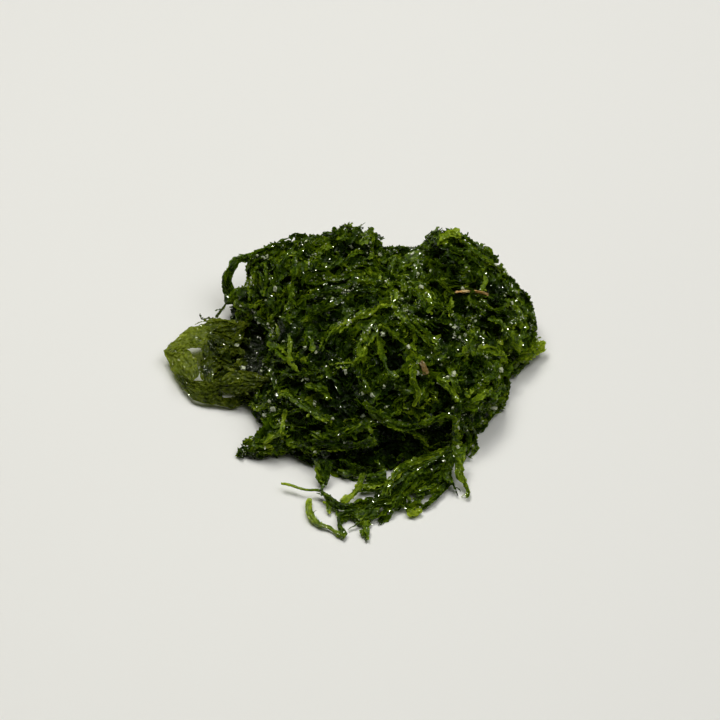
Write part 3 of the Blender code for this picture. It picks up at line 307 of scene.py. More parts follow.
# The loose strands of each blade and bundle that stands apart: number of ribbons, width of the whole, width
# of a ribbon, tone, how much lighter the far tip is, then x and y in pixels and height over the floor of
# each point of the route.
LOOSE_STRANDS = {
    "trailing_bundle": [
        (6, 2.8, 1.8, 0.55, 0, 450, 447, 11, 440, 452, 9, 430, 456, 8, 420, 460, 7, 410, 464, 6.5, 402, 468,
         6, 396, 474, 5.5, 391, 481, 5, 386, 489, 4.5, 382, 496, 4),
        (9, 4, 1.9, 0.4, 0, 444, 455, 8, 434, 461, 7, 424, 468, 6, 416, 473, 5.5, 408, 478, 5, 402, 484, 4.5,
         396, 490, 4, 390, 498, 3),
        (9, 4, 1.8, 0.46, 0.1, 440, 464, 6, 430, 471, 5, 421, 478, 4, 413, 486, 3.5, 405, 493, 3, 398, 500,
         2.5, 395, 507, 2),
        (7, 4.6, 1.8, 0.36, 0, 452, 455, 9, 449, 464, 7, 447, 472, 5, 446, 484, 4),
        (6, 3.6, 2, 0.32, 0, 438, 470, 4, 428, 478, 3.5, 420, 483, 3, 412, 490, 2),
        (4, 2.6, 1.8, 0.44, 0.1, 446, 478, 4.5, 441, 486, 3, 437, 492, 2),
        (4, 0.8, 1.5, 0.36, 0.1, 443, 489, 2.4, 438, 494, 2, 433, 499, 1.8, 427, 504, 1.6, 421, 508, 1.5),
        (6, 2.2, 2, 0.74, 0, 410, 511, 1.4, 414, 512, 1.8, 420, 509, 1.8),
        (3, 0.8, 1.3, 0.42, 0.3, 416, 488, 3, 417.5, 497, 2, 418.5, 508, 1.5),
        (3, 0.4, 1, 0.3, 0, 450, 466, 6, 450.5, 477, 4, 454, 486, 2, 457.5, 496, 1.2),
        (4, 2.4, 1.6, 0.5, 0.1, 457, 446, 9, 457.5, 456, 8, 459, 466, 6.5, 460.5, 475, 5, 464, 483, 3.2),
        (3, 0.6, 1.2, 0.62, 0.2, 464, 483, 3, 467.5, 489, 2, 469.5, 493, 1.4, 468.5, 497, 1.4, 466, 497.5,
         1.6, 465.5, 493, 1.8),
        (3, 1.2, 1.6, 0.7, 0.1, 364, 475, 5.5, 361, 482, 4, 358, 488, 3.5, 353, 494, 3, 347, 499, 2.4),
        (3, 0.9, 1.5, 0.42, 0.2, 388, 485, 4, 378, 489, 2.6, 368, 490.5, 2.2, 359, 491.5, 2.2, 352, 495, 2),
        (5, 1.8, 1.5, 0.3, 0, 390, 497, 4.5, 380, 499, 4, 370, 502, 3.4, 360, 504, 3, 350, 506.5, 2.8, 341,
         506, 2.8, 333, 502, 3, 326, 496, 3, 318, 491, 3),
        (3, 0.8, 1.3, 0.48, 0.35, 326, 498, 2.4, 328, 506, 1.8, 329, 514, 1.2),
        (2, 0.8, 1.3, 0.44, 0.2, 334, 505, 2.4, 337, 511, 1.6, 338, 516, 1),
        (5, 2, 1.6, 0.34, 0, 392, 503, 3.6, 380, 504, 3.2, 368, 506, 2.8, 358, 508, 2.6, 348, 509, 2.4),
        (2, 0.3, 1, 0.32, 0.1, 359, 523.5, 1.8, 354, 526, 1.5, 348, 530, 1),
        (5, 2.8, 1.6, 0.46, 0.2, 378, 509, 3, 372, 514, 2.8, 367, 519, 2.6, 365, 524, 2.2),
        (3, 1.8, 1.5, 0.44, 0, 356, 511, 2.4, 357, 517, 2.2, 360, 522, 2),
        (3, 0.5, 1.1, 0.26, 0, 383, 505, 3, 387, 509, 2.4, 386.5, 514, 1.6, 383, 519, 1.2, 379, 522, 1),
        (4, 1.6, 1.6, 0.4, 0, 404, 496, 3.4, 400, 503, 2.4, 397, 509, 1.6),
        (5, 3.2, 2, 0.42, 0.1, 403, 498, 2.6, 408, 504, 2.2, 414, 508, 1.8),
        (5, 2.8, 1.9, 0.5, 0.1, 422, 502, 2.2, 415, 503, 2.2, 409, 506, 2, 405, 510, 1.6),
        (5, 3, 1.9, 0.4, 0, 438, 487, 3.2, 430, 491, 2.6, 423, 492, 2.4, 416, 495, 2),
        (4, 2.8, 1.8, 0.42, 0.1, 397, 503, 2.8, 391, 510, 2.2, 385, 516, 1.8, 378, 521, 1.3),
        (4, 2.2, 1.8, 0.5, 0, 387, 482, 4, 376, 485, 3.2, 366, 486.5, 2.8, 358, 486, 2.4),
        (4, 1.6, 1.6, 0.36, 0, 384, 499, 3.8, 372, 500.5, 3.2, 360, 503, 2.8, 350, 504, 2.4),
        (4, 1.8, 1.6, 0.4, 0, 339, 523, 1.6, 343, 517.5, 2, 350, 515.5, 2, 357, 517, 2),
        (3, 1.6, 1.5, 0.56, 0.2, 365, 524, 1.8, 366.4, 532, 1.4, 366, 541, 0.9),
        (3, 0.8, 1.2, 0.34, 0, 342, 513, 2.4, 339, 519, 2, 339.5, 526, 1.8, 342, 532, 1.8, 344, 537, 1.6),
        (3, 0.7, 1.1, 0.55, 0.3, 336, 532, 1.6, 331, 529, 1.5, 326, 526.5, 1.6, 320, 523.5, 1.8, 315, 519, 2,
         311, 512, 2.2, 310, 505, 2.2, 310, 499, 2),
    ],
    "left_broad_frond": [
        (3, 1.8, 2, 0.5, 0.1, 238, 326, 11, 226, 322, 11, 213, 322, 10, 203, 324, 9.5, 196, 327, 9),
        (2, 0.8, 1.6, 0.4, 0, 206, 338, 10, 204, 349, 9, 204, 360, 8, 202, 370, 7.5, 204, 380, 7),
        (3, 3, 2.4, 0.3, 0, 206, 345, 9, 216, 342, 9, 227, 346, 9.5, 240, 340, 10.5, 248, 343, 12),
        (3, 3, 2.4, 0.32, 0, 203, 362, 8, 213, 351, 8.5, 226, 353, 9, 238, 349, 10, 247, 356, 12),
        (3, 3, 2.4, 0.26, 0, 204, 378, 7.6, 211, 367, 8, 224, 360, 8.5, 236, 366, 9, 248, 362, 11),
        (3, 2.6, 2.6, 0.38, 0, 210, 338, 9.5, 222, 335, 10, 233, 340, 10, 244, 333, 11, 251, 326, 12),
        (3, 1.6, 2.6, 0.42, 0, 201, 366, 8.4, 209, 360, 8.6, 217, 361, 9, 229, 352, 9.6, 240, 350, 10.5),
        (3, 1.6, 2.4, 0.34, 0, 211, 372, 8.2, 222, 364, 9, 233, 368, 10, 244, 360, 11),
        (4, 2.4, 2.8, 0.44, 0, 208, 334, 10.4, 219, 338, 10.6, 231, 343, 10.8, 240, 334, 11.6, 247, 321, 12),
        (3, 1.8, 2.6, 0.36, 0, 222, 356, 10, 231, 346, 10.6, 243, 338, 11.4),
        (3, 2.6, 2.6, 0.32, 0, 207, 342, 9.6, 214, 350, 9.6, 220, 358, 9.8, 229, 364, 10),
        (3, 2.6, 2.8, 0.42, 0, 212, 330, 10.8, 222, 328, 11.2, 233, 326, 11.6, 244, 322, 12),
        (3, 2.4, 2.2, 0.34, 0, 218, 330, 10.5, 228, 339, 9.5, 234, 350, 9, 240, 362, 9),
        (3, 1.6, 2, 0.42, 0, 240, 330, 11, 236, 342, 10, 226, 354, 9, 216, 366, 8, 208, 376, 7.6),
        (3, 2, 2, 0.3, 0, 214, 380, 8, 226, 371, 9, 238, 369, 10, 250, 372, 11),
        (4, 2.6, 1.8, 0.44, 0.1, 232, 400, 2.5, 242, 400, 3, 252, 404, 3, 261, 410, 3),
        (4, 3, 1.7, 0.42, 0.1, 240, 391, 6, 250, 394, 5.5, 258, 399, 5, 266, 406, 4.5, 274, 412, 4),
        (4, 3, 1.8, 0.34, 0.1, 248, 386, 8, 256, 391, 7, 262, 398, 6.5, 272, 402, 6.5),
        (3, 2, 1.6, 0.3, 0.1, 246, 404, 2, 250, 397, 3.6, 257, 390, 6, 266, 386, 8),
        (2, 0.8, 1.2, 0.62, 0, 222, 379, 10, 229, 373.5, 11.5, 236, 371.5, 12, 250, 373, 12.5, 262, 377, 13,
         272, 379, 13),
        (2, 0.5, 1.3, 0.24, 0, 199, 315, 8, 202, 320, 9, 208, 319, 9.5, 215, 320, 10),
        (2, 0.3, 1.1, 0.22, 0, 216, 318, 9.5, 220, 312, 9, 225, 305, 9),
        (3, 2, 1.8, 0.46, 0, 214, 384, 8, 224, 385, 9, 236, 384, 10, 250, 382, 11),
        (3, 1.6, 1.6, 0.5, 0, 236, 392, 8, 246, 388, 9.5, 256, 387, 10.5, 266, 383, 11.5),
    ],
    "standing_loop": [
        (4, 1.8, 1.5, 0.42, 0, 262, 252, 15, 252, 256, 17, 243, 258, 19, 235, 260, 19.5, 231, 267, 18, 227,
         274, 16, 226, 283, 12, 228, 291, 9, 230, 299, 7),
        (3, 0.5, 1.2, 0.28, 0, 226, 296, 8, 226, 303, 7, 221, 311, 6, 217, 317, 6),
    ],
    "front_tuft": [
        (4, 2.2, 1.5, 0.4, 0, 318, 460, 8, 319, 468, 5.5, 321, 476, 3.5, 324, 484, 1.6),
    ],
    "right_tip": [
        (4, 2.4, 1.9, 0.72, 0.2, 512, 352, 9, 520, 351, 8.6, 528, 350, 7.4, 535, 347, 6, 542, 342, 5),
        (4, 1.8, 1.7, 0.78, 0.2, 518, 357, 7.4, 526, 357, 6.4, 533, 355, 5, 539, 351, 4.4, 544, 347, 4),
        (3, 1.2, 1.5, 0.86, 0.2, 519, 347, 9, 530, 345.5, 7.6, 538, 343.5, 6, 545, 341.5, 5),
        (4, 2, 1.7, 0.44, 0, 533, 354, 4, 535, 347, 5, 535.5, 340, 5.4, 534.5, 332, 6),
    ],
}

# Their thin sheets: the tone at either end, then an edge and the edge across from it, each as x and y in
# pixels and height of one point after another.
SHEETS = {
    "trailing_bundle": [
        (0.8, 0.24,
         [281, 484.6, 3, 290, 486.6, 3, 300, 489.7, 3, 308, 491.2, 3, 316, 491.6, 3, 322, 494, 3, 326, 501,
          2.6, 331, 507, 2, 338, 509.5, 2, 347, 509, 2.4],
         [281, 482.4, 3.4, 290, 483.4, 3.4, 300, 487, 3.4, 308, 488.6, 3.4, 316, 488.8, 3.6, 322, 490, 3.6,
          328, 494, 3.6, 334, 498, 3.4, 340, 502, 3.2, 349, 503.5, 3.2]),
        (0.55, 0.8,
         [361, 473, 6, 358, 478, 5, 357, 484, 4, 355, 489, 3.4, 351, 493, 3, 345, 495, 2.6, 339.5, 500, 2],
         [367, 474, 5, 365, 480, 4, 362, 486, 3, 360, 491, 2.6, 354, 497, 2.2, 349, 502, 2, 341, 503.5,
          1.6]),
        (0.44, 0.4,
         [368, 474, 6, 376, 472, 6, 386, 468, 7],
         [365, 482, 3, 374, 484.5, 3, 387, 483, 4]),
        (0.26, 0.5,
         [357, 508, 2.6, 348, 509.5, 2.6, 341, 512, 2.4, 337.4, 517, 2, 337, 524, 1.8, 338.5, 530, 1.6, 339,
          535, 1.4, 342, 539, 1],
         [357, 512, 2, 349, 513.5, 2, 343, 516.5, 1.8, 341, 521, 1.8, 342, 526, 1.8, 345.6, 530, 1.8, 346.8,
          535, 1.6, 344, 539, 1]),
        (0.62, 0.8,
         [344, 539.2, 0.8, 339, 538, 0.8, 334, 533.5, 1, 329, 529.6, 1.2, 325, 528.2, 1.2, 318, 527, 1.2,
          311.6, 522, 1.4, 307, 515.4, 1.6, 305.4, 508, 1.8, 306.2, 502, 1.8, 307.6, 498, 1.6],
         [346, 533, 1.6, 341, 532, 1.6, 336, 530, 1.6, 330, 528.2, 1.5, 326, 525.4, 1.8, 321, 522, 2, 316,
          518.5, 2.2, 313, 513, 2.4, 311.6, 507, 2.4, 311.8, 502, 2.2, 310.8, 498, 1.8]),
        (0.4, 0.44,
         [352, 510, 2.6, 361, 509, 2.6, 371, 508, 2.8, 381, 506, 3],
         [355, 521, 1.6, 361, 525, 1.6, 366, 523, 1.8, 375, 519, 2]),
        (0.7, 0.22,
         [362, 521, 2, 363, 526, 1.6, 363.4, 532, 1.2, 364.8, 541, 0.8],
         [369, 520, 2.2, 369, 525, 1.8, 366, 531, 1.4, 366.8, 541, 0.9]),
        (0.5, 0.45,
         [359, 530, 1.2, 359.6, 533, 1.1, 361, 536, 1],
         [365, 528.6, 1.6, 365, 532, 1.4, 364, 536, 1]),
        (0.24, 0.26,
         [452, 447, 8, 436, 452, 7, 420, 460, 6, 405, 468, 5, 394, 477, 4, 385, 487, 3.2, 381, 498, 2.4],
         [450, 486, 1.6, 443, 492, 1, 433, 488, 1, 421, 487, 1, 411, 492, 1, 404, 500, 0.8, 396, 508, 0.6]),
        (0.44, 0.66,
         [452, 447, 9, 453, 456, 8, 454.5, 466, 6.6, 457, 475, 4.8, 461, 480.6, 3.4, 465, 487, 2.3, 468, 492,
          1.8],
         [467, 447, 8.4, 465, 456, 7.4, 463.8, 466, 6.2, 463.2, 475, 4.6, 465.6, 480, 3.4, 468.6, 487, 2.3,
          470.6, 493, 1.6]),
        (0.6, 0.5,
         [338, 469, 3.5, 346, 470, 3.5, 357, 469, 3.5],
         [339, 474, 2, 346, 477.4, 1.6, 354, 476, 2]),
    ],
    "left_broad_frond": [
        (0.74, 0.34,
         [163.5, 351, 5, 171, 343, 6.5, 180, 335, 7.5, 189, 327.6, 8.5, 197, 325.4, 9, 205, 323.6, 9.5, 214,
          321, 10, 226, 320, 10.5, 242, 320, 11.5],
         [177, 357, 7, 184, 351, 8, 192, 348, 8.5, 200, 348, 9, 207, 345, 9.5, 214, 341, 9.5, 223, 338, 10,
          232, 337, 10.5, 243, 336, 11]),
        (0.7, 0.52,
         [163.5, 350, 5, 166, 357, 4.5, 169.6, 365, 4, 173, 373, 3.6, 177.5, 380.6, 3.2, 182, 388, 3],
         [183, 347, 8, 190, 351, 8, 191.5, 356, 8, 197, 359, 8, 197.5, 366, 7.6, 199.4, 371, 7.4, 198, 377,
          7.2]),
        (0.48, 0.4,
         [199, 345, 8.8, 201.4, 350, 8.4, 201, 355, 8.2, 203.6, 360, 8, 203, 366, 7.6, 201, 370.4, 7.4, 203,
          375, 7.4, 203.4, 382, 7.2],
         [212, 342, 9, 213, 348, 9, 212, 354, 9, 214, 360, 9, 213, 367, 9, 214, 372, 9, 213, 377, 9, 214,
          382, 9]),
        # Painted shade: these three near-black sheets lie under the frond's middle, dark as the shade inside
        # it.
        (0.12, 0.02,
         [209, 339, 6.6, 222, 334, 7, 236, 331, 7.5, 266, 326, 9],
         [210, 352, 5.4, 222, 353, 5.8, 236, 351, 6.2, 266, 348, 8]),
        (0.12, 0.02,
         [208, 350, 5.4, 222, 351, 5.6, 236, 348, 6, 266, 345, 8],
         [208, 366, 5.2, 222, 366, 5.6, 236, 364, 6, 266, 364, 7.6]),
        (0.12, 0.04,
         [207, 364, 5, 220, 364, 5.4, 236, 361, 6, 266, 361, 7.6],
         [206, 381, 4.6, 220, 383, 5, 236, 385, 5.6, 266, 387, 7]),
        (0.4, 0.3,
         [234, 393, 3.4, 243, 389, 5, 252, 386, 6.5, 262, 383, 8],
         [240, 405, 1.4, 249, 403, 1.6, 257, 408, 1.8, 266, 411, 2.2]),
        (0.54, 0.46,
         [174, 373, 3.4, 180, 384, 3, 186, 392, 2.6, 193, 399, 2.4, 202, 402.6, 2.2, 212, 404.4, 2, 223, 406,
          2],
         [188, 378, 7.4, 193, 380.4, 7.6, 198, 380.6, 7.8, 204, 381, 8, 210, 380.4, 8.4, 216, 378.6, 9, 222,
          376, 10]),
        (0.48, 0.42,
         [219, 391, 7, 225, 393.4, 7, 232, 394, 7.2, 240, 393, 8.2, 250, 389, 9.4, 260, 386.4, 10.4, 272,
          383, 11.4],
         [219, 379, 9.4, 225, 374.6, 11, 232, 371.2, 12, 241, 371.4, 12.2, 250, 373, 12.4, 260, 375.6, 12.6,
          273, 378, 13]),
        (0.54, 0.44,
         [217, 396, 3.4, 226, 397.4, 3.4, 233, 396.8, 3.6, 241, 395, 4.4],
         [217, 405, 1.8, 226, 407.4, 1.4, 233, 408, 1.4, 240, 405, 2]),
    ],
    "standing_loop": [
        (0.4, 0.32,
         [266, 247, 14, 257, 250.6, 16, 248, 253, 18, 241, 255.6, 19.5, 234, 257.6, 20, 230.6, 261.6, 19.6,
          228.6, 267, 18.4, 223.4, 273, 16, 221.8, 280, 13, 222.2, 288, 10, 223.4, 296, 7.6, 225, 305, 5.6],
         [266, 258, 14, 257, 261, 15, 249, 262.6, 16.6, 243, 262.4, 18, 239.6, 262.8, 18.6, 237.6, 266, 18,
          236, 270, 17, 233, 275, 15, 231.8, 281, 12.4, 234.4, 287.6, 9.4, 239, 294, 7.4, 242, 303, 6]),
    ],
    "front_tuft": [
        (0.3, 0.46,
         [312, 458, 8, 316, 467, 5, 317, 477, 3, 322, 484, 1.4],
         [333, 460, 8, 331, 470, 5, 329.6, 479, 3, 326, 485.4, 1.2]),
    ],
    "right_tip": [
        (0.52, 0.96,
         [513, 345, 9.6, 520, 345.5, 9.2, 527, 344, 8.4, 534, 342, 6.8, 540, 340.4, 5.4, 545, 341, 4.6],
         [513, 362, 6, 521, 363, 5.4, 528, 361, 4.6, 534, 357, 4, 539, 353, 3.6, 545, 349.5, 3.6]),
        (0.84, 1,
         [531, 345, 7.6, 538, 342.4, 6, 545.4, 341.2, 5],
         [531, 353, 6.2, 538, 351, 4.8, 544.4, 347.5, 4.4]),
    ],
}

LOOSE_SLOTS = {
    "trailing_bundle": "deep_frond",
    "left_broad_frond": "olive_frond",
    "standing_loop": "deep_frond",
    "front_tuft": "deep_frond",
    "right_tip": "bright_frond",
}

# The two dried pieces: material, width, how far they roll up in radians, and route in space.
TAN_PIECES = {
    "tan_stalk": ("dried_stalk", 1.7, 1.6, [39.2, 36.4, 22.0, 45.5, 38.0, 20.9, 52.2, 37.3, 20.0]),
    "tan_fleck": ("brown_fleck_in_painted_shade", 2.6, 0.8, [25.3, -9.4, 28.4, 26.3, -11.6, 27.9, 27.2, -13.8, 26.2]),
}

SMALL_GRAINS, GRAIN_SIZES = 480, (0.35, 1.3)
# Specks of salt dust, which partly stand for wet glints as painted highlight: their number and sizes.
SALT_AND_GLINT_SPECKS, SPECK_SIZES = 1500, (0.3, 0.7)
GRAIN_RISE = 0.3               # how far a grain's middle stands off its frond, by its size
SPECK_RISE = 0.1
DROP_HEIGHT = 4                # how far off the heap a grain starts to fall
RAY_LENGTH = 2.0               # in metres
# The large grains of salt: x and y in pixels and size, one grain after another.
LARGE_GRAINS = [
    417, 373, 1.7, 454, 374, 1.8, 453, 408, 1.6, 400, 421, 1.7, 463, 289, 1.7, 421, 287, 1.6, 494, 408, 1.7,
    380, 255, 1.5, 412, 254, 1.6, 501, 370, 1.7, 431, 271, 1.3, 465, 335, 1.5, 454, 328, 1.4, 481, 316, 1.5,
    516, 292, 1.3, 512, 303, 1.5, 277, 395, 1.3, 286, 421, 1.1, 332, 419, 1.4, 305, 348, 1.5, 316, 352, 1.2,
    386, 407, 1.5, 362, 394, 1.3, 384, 387, 1.4, 441, 365, 1.4, 438, 383, 1.4, 448, 378, 1.5, 275, 289, 1.7,
    266, 300, 1.3, 268, 324, 1.4, 351, 247, 1.6, 383, 334, 1.5, 408, 347, 1.2, 458, 447, 1.5, 458, 428, 1.4,
    444, 461, 1.1, 432, 470, 1.1, 307, 378, 1.5, 363, 416, 1.7, 372, 395, 1.3, 440, 412, 1.3, 423, 431, 1.2,
    273, 409, 1.7, 265, 448, 1.1, 315, 452, 1.1, 259, 322, 1.4, 237, 345, 1.4, 243, 369, 1.5, 346, 372, 1.3,
    499, 377, 1.2,
]

# The colours of the fronds by tone: where on the scale of tones, and red, green and blue.
GREEN = [
    (0.0, (0.0024, 0.0075, 0.0003)), (0.3, (0.0152, 0.0375, 0.0006)), (0.5, (0.064, 0.122, 0.0016)),
    (0.72, (0.215, 0.320, 0.0070)), (1.0, (0.52, 0.64, 0.035)),
]
OLIVE = [
    (0.0, (0.003, 0.007, 0.0004)), (0.3, (0.020, 0.036, 0.0014)), (0.5, (0.080, 0.112, 0.0040)),
    (0.75, (0.200, 0.250, 0.012)), (1.0, (0.42, 0.48, 0.04)),
]
BRIGHT = [
    (0.0, (0.008, 0.020, 0.001)), (0.3, (0.034, 0.070, 0.002)), (0.5, (0.085, 0.150, 0.004)),
    (0.75, (0.24, 0.35, 0.010)), (1.0, (0.46, 0.58, 0.03)),
]
# The same where light comes through them.
GREEN_LIT = [
    (0.0, (0.004, 0.010, 0.0004)), (0.3, (0.05, 0.10, 0.0015)), (0.5, (0.16, 0.28, 0.004)),
    (1.0, (0.50, 0.66, 0.02)),
]
OLIVE_LIT = [
    (0.0, (0.006, 0.011, 0.0004)), (0.3, (0.05, 0.075, 0.003)), (0.5, (0.22, 0.29, 0.012)),
    (1.0, (0.56, 0.66, 0.06)),
]
BRIGHT_LIT = [(0.0, (0.06, 0.12, 0.003)), (0.5, (0.24, 0.38, 0.008)), (1.0, (0.50, 0.65, 0.03))]


def unit(vectors):
    """Vectors brought to a length of one."""
    return vectors / np.maximum(np.linalg.norm(vectors, axis=-1, keepdims=True), 1e-9)


def in_rows(numbers, width):
    """A flat list of numbers, cut into rows."""
    return [numbers[start:start + width] for start in range(0, len(numbers), width)]


def above(points, height):
    """Points brought up to a height over the floor where they are lower."""
    points[..., 2] = np.maximum(points[..., 2], height)
    return points


def lobe_distance(points, lobe):
    """Rough distance from a lobe's half ellipsoid, below zero inside it."""
    x, y, half_width, half_depth, turn, height = lobe
    c, s = np.cos(np.radians(turn)), np.sin(np.radians(turn))
    px, py, pz = points[:, 0] - x, points[:, 1] - y, points[:, 2]
    local = np.stack([px * c + py * s, py * c - px * s, pz], 1)
    size = np.array([half_width, half_depth, height], float)
    near = np.linalg.norm(local / size, axis=1)
    slope = np.linalg.norm(local / size**2, axis=1)
    return near * (near - 1) / np.maximum(slope, 1e-9)


def bundle_distance(points, lobes, blend=2.5):
    """Distance from several lobes, blended where they meet."""
    each = np.stack([lobe_distance(points, lobe) for lobe in lobes])
    low = each.min(0)
    return low - blend * np.log(np.exp((low - each) / blend).sum(0))


def smooth_path(control, step):
    """Points about a step apart on a smooth curve through the control points."""
    control = np.array(control, float)
    ends = np.concatenate([[2 * control[0] - control[1]], control, [2 * control[-1] - control[-2]]])
    t = np.linspace(0, 1, 12, endpoint=False)[:, None]
    pieces = []
    for a, b, c, d in zip(ends, ends[1:], ends[2:], ends[3:]):
        bend = (2 * a - 5 * b + 4 * c - d) * t**2 + (3 * b - a - 3 * c + d) * t**3
        pieces.append(b + 0.5 * ((c - a) * t + bend))
    return evenly(np.concatenate([*pieces, control[-1:]]), step)


def spaced(points, count):
    """The same path with a number of points, evenly spaced."""
    along = np.concatenate([[0], np.cumsum(np.linalg.norm(np.diff(points, axis=0), axis=1))])
    wanted = np.linspace(0, along[-1], count)
    return np.stack([np.interp(wanted, along, points[:, k]) for k in range(points.shape[1])], 1)


def evenly(points, step):
    """The same path with its points about a step apart."""
    length = np.linalg.norm(np.diff(points, axis=0), axis=1).sum()
    return spaced(points, max(4, int(round(length / step)) + 1))


def drift(draw, rows, count, span):
    """Smooth random values, a row each, that change over about a span of points. Most lie within -1 and 1."""
    knots = draw.normal(0, 0.6, (rows, int(count / span) + 3))
    at = np.arange(count) / span + draw.random((rows, 1))
    low = at.astype(int)
    part = at - low
    part = part * part * (3 - 2 * part)
    here, there = np.take_along_axis(knots, low, 1), np.take_along_axis(knots, low + 1, 1)
    return here + (there - here) * part


class Field:
    """A value kept on the grid, read anywhere between its points."""

    def __init__(self, values):
        self.values = values

    def at(self, points):
        """The value at some points."""
        spot = (np.asarray(points) - GRID_LOW) / GRID_STEP
        spot = np.clip(spot, 0, np.array(self.values.shape) - 1.001)
        low = spot.astype(int)
        part = spot - low
        total = 0
        for corner in np.ndindex(2, 2, 2):
            share = np.prod(np.where(corner, part, 1 - part), axis=-1)
            total = total + share * self.values[tuple(np.moveaxis(low + corner, -1, 0))]
        return total

    def outward(self, points):
        """The direction in which the value grows fastest."""
        points = np.asarray(points)
        change = [self.at(points + 0.6 * axis) - self.at(points - 0.6 * axis) for axis in np.eye(3)]
        return unit(np.stack(change, -1))

    def settle(self, points, level, rounds=6):
        """Points moved in or out until the value there is the level, and kept above the floor."""
        for _ in range(rounds):
            lack = np.asarray(level - self.at(points))[..., None]
            points = above(points + lack * self.outward(points) * 0.8, LOW_SKIN)
        return points


def grid_points():
    """The points of the grid, in an array of its shape."""
    axes = [np.arange(low, high + 0.5, GRID_STEP) for low, high in zip(GRID_LOW, GRID_HIGH)]
    return np.stack(np.meshgrid(*axes, indexing="ij"), -1)


def lumps(shape, size, seed):
    """A smooth random field with lumps of about a size, most of it within -1 and 1."""
    rough = np.random.default_rng(seed).normal(size=shape)
    waves = np.meshgrid(*[np.fft.fftfreq(count, GRID_STEP) for count in shape], indexing="ij")
    soft = np.exp(-3.5 * size**2 * sum(wave**2 for wave in waves))
    field = np.fft.ifftn(np.fft.fftn(rough) * soft).real
    return 0.6 * field / field.std()


def heap_field():
    """Distance from the heap's surface, with its hanks standing out of it and its lumps."""
    points = grid_points()
    shape = points.shape[:3]
    lobes = [lobe for bundle in LOBES.values() for lobe in bundle]
    distance = bundle_distance(points.reshape(-1, 3), lobes).reshape(shape)
    rise = np.zeros(shape[:2])
    plan = points[:, :, 0, :2]
    for half_width, *route in HANKS:
        reach = half_width * 0.7 + 1.5
        for x, y in smooth_path(in_rows(route, 2), 3.0):
            away = (plan[..., 0] - x) ** 2 + (plan[..., 1] - y) ** 2
            rise = np.maximum(rise, np.exp(-away / reach**2))
    distance -= HANK_RISE * (rise[..., None] - 0.5)
    large, small = lumps(shape, LUMP_SIZE, LUMP_SEED), lumps(shape, PLEAT_SIZE, PLEAT_SEED)
    distance -= LUMP_RISE * large + PLEAT_RISE * small
    return Field(distance)


def rays(pixels):
    """The direction in which the camera sees each pixel of the photograph."""
    across = (pixels[:, :1] - FRAME_PIXELS / 2) / FOCUS_PIXELS
    rise = (FRAME_PIXELS / 2 - pixels[:, 1:]) / FOCUS_PIXELS
    return across * np.array([1.0, 0, 0]) + rise * CAMERA_UP - CAMERA_BACK


def on_heap(field, pixels, level, highest=44, lowest=0.6, steps=260):
    """Where the camera's rays first meet the heap at a level, or pass nearest to it, or meet the floor."""
    ways = rays(np.asarray(pixels, float))
    near, far = ((CAMERA_PLACE[2] - height) / -ways[:, 2] for height in (highest, lowest))
    reach = near[:, None] + (far - near)[:, None] * np.linspace(0, 1, steps)
    places = CAMERA_PLACE + reach[..., None] * ways[:, None]
    value = field.at(places) - level
    inside = value < 0
    first = np.where(inside.any(1), inside.argmax(1), value.argmin(1))
    return places[np.arange(len(places)), first]


def hollow_spots(field):
    """The middle of each hollow, half way down it, and its radius."""
    hollows = np.array(in_rows(HOLLOWS, 4), float)
    pixels, radii, depths = hollows[:, :2], hollows[:, 2], hollows[:, 3:]
    return list(zip(on_heap(field, pixels, 0) + depths / 2 * unit(rays(pixels)), radii))


def hollowness(points, spots):
    """How near each point is to the middle of a hollow: 1 there, and 0 away from them all."""
    deep = np.zeros(points.shape[:-1])
    for middle, radius in spots:
        away = np.sum((points - middle) ** 2, -1) / (HOLLOW_REACH * radius) ** 2
        deep = np.maximum(deep, np.exp(-away**1.5))
    return deep


def patch_spots(field):
    """The middle of each patch on the heap, its radius and its change of tone."""
    patches = np.array(in_rows(TONE_AND_SHADE_PATCHES, 4), float)
    return list(zip(on_heap(field, patches[:, :2], 0), patches[:, 2], patches[:, 3]))


def patch_tone_and_shade(points, patches):
    """How much lighter the wide patches make the fronds at these points; below zero it is painted shade."""
    lighter = np.zeros(points.shape[:-1])
    for middle, radius, change in patches:
        lighter += change * np.exp(-np.sum((points - middle) ** 2, -1) / radius**2)
    return lighter


def carve(field, spots, through=False):
    """A copy of the heap's form, lower round spots of the photograph, or all along their rays."""
    points = grid_points()
    lower = np.zeros(points.shape[:3])
    for x, y, radius, depth in in_rows(spots, 4):
        pixel = np.array([(x, y)], float)
        away = points - on_heap(field, pixel, 0)[0]
        if through:
            ray = unit(rays(pixel))[0]
            away = away - (away @ ray)[..., None] * ray
        lower = np.maximum(lower, depth * np.exp(-((np.sum(away**2, -1) / radius**2) ** 1.5)))
    return Field(field.values + lower)


def place(points):
    """Plan millimetres to the frame's metres."""
    return (np.asarray(points) + (*CENTRE_SHIFT, 0)) * MM


def link(thing):
    """Puts an object into the scene."""
    bpy.context.scene.collection.objects.link(thing)
    return thing


def make_mesh(name, vertices, faces, values, smooth=True):
    """A mesh object from arrays. Faces have equal numbers of corners; values are named, one a vertex."""
    vertices, faces = np.asarray(vertices, float), np.asarray(faces)
    mesh = bpy.data.meshes.new(name)
    mesh.vertices.add(len(vertices))
    mesh.vertices.foreach_set("co", place(vertices).ravel())
    mesh.loops.add(faces.size)
    mesh.loops.foreach_set("vertex_index", faces.ravel())
    mesh.polygons.add(len(faces))
    mesh.polygons.foreach_set("loop_start", np.arange(0, faces.size, faces.shape[1]))
    mesh.update(calc_edges=True)
    mesh.validate()
    for key, numbers in values.items():
        mesh.attributes.new(key, "FLOAT", "POINT").data.foreach_set("value", np.asarray(numbers, float))
    if smooth:
        mesh.shade_smooth()
    else:
        mesh.shade_flat()
    return link(bpy.data.objects.new(name, mesh))


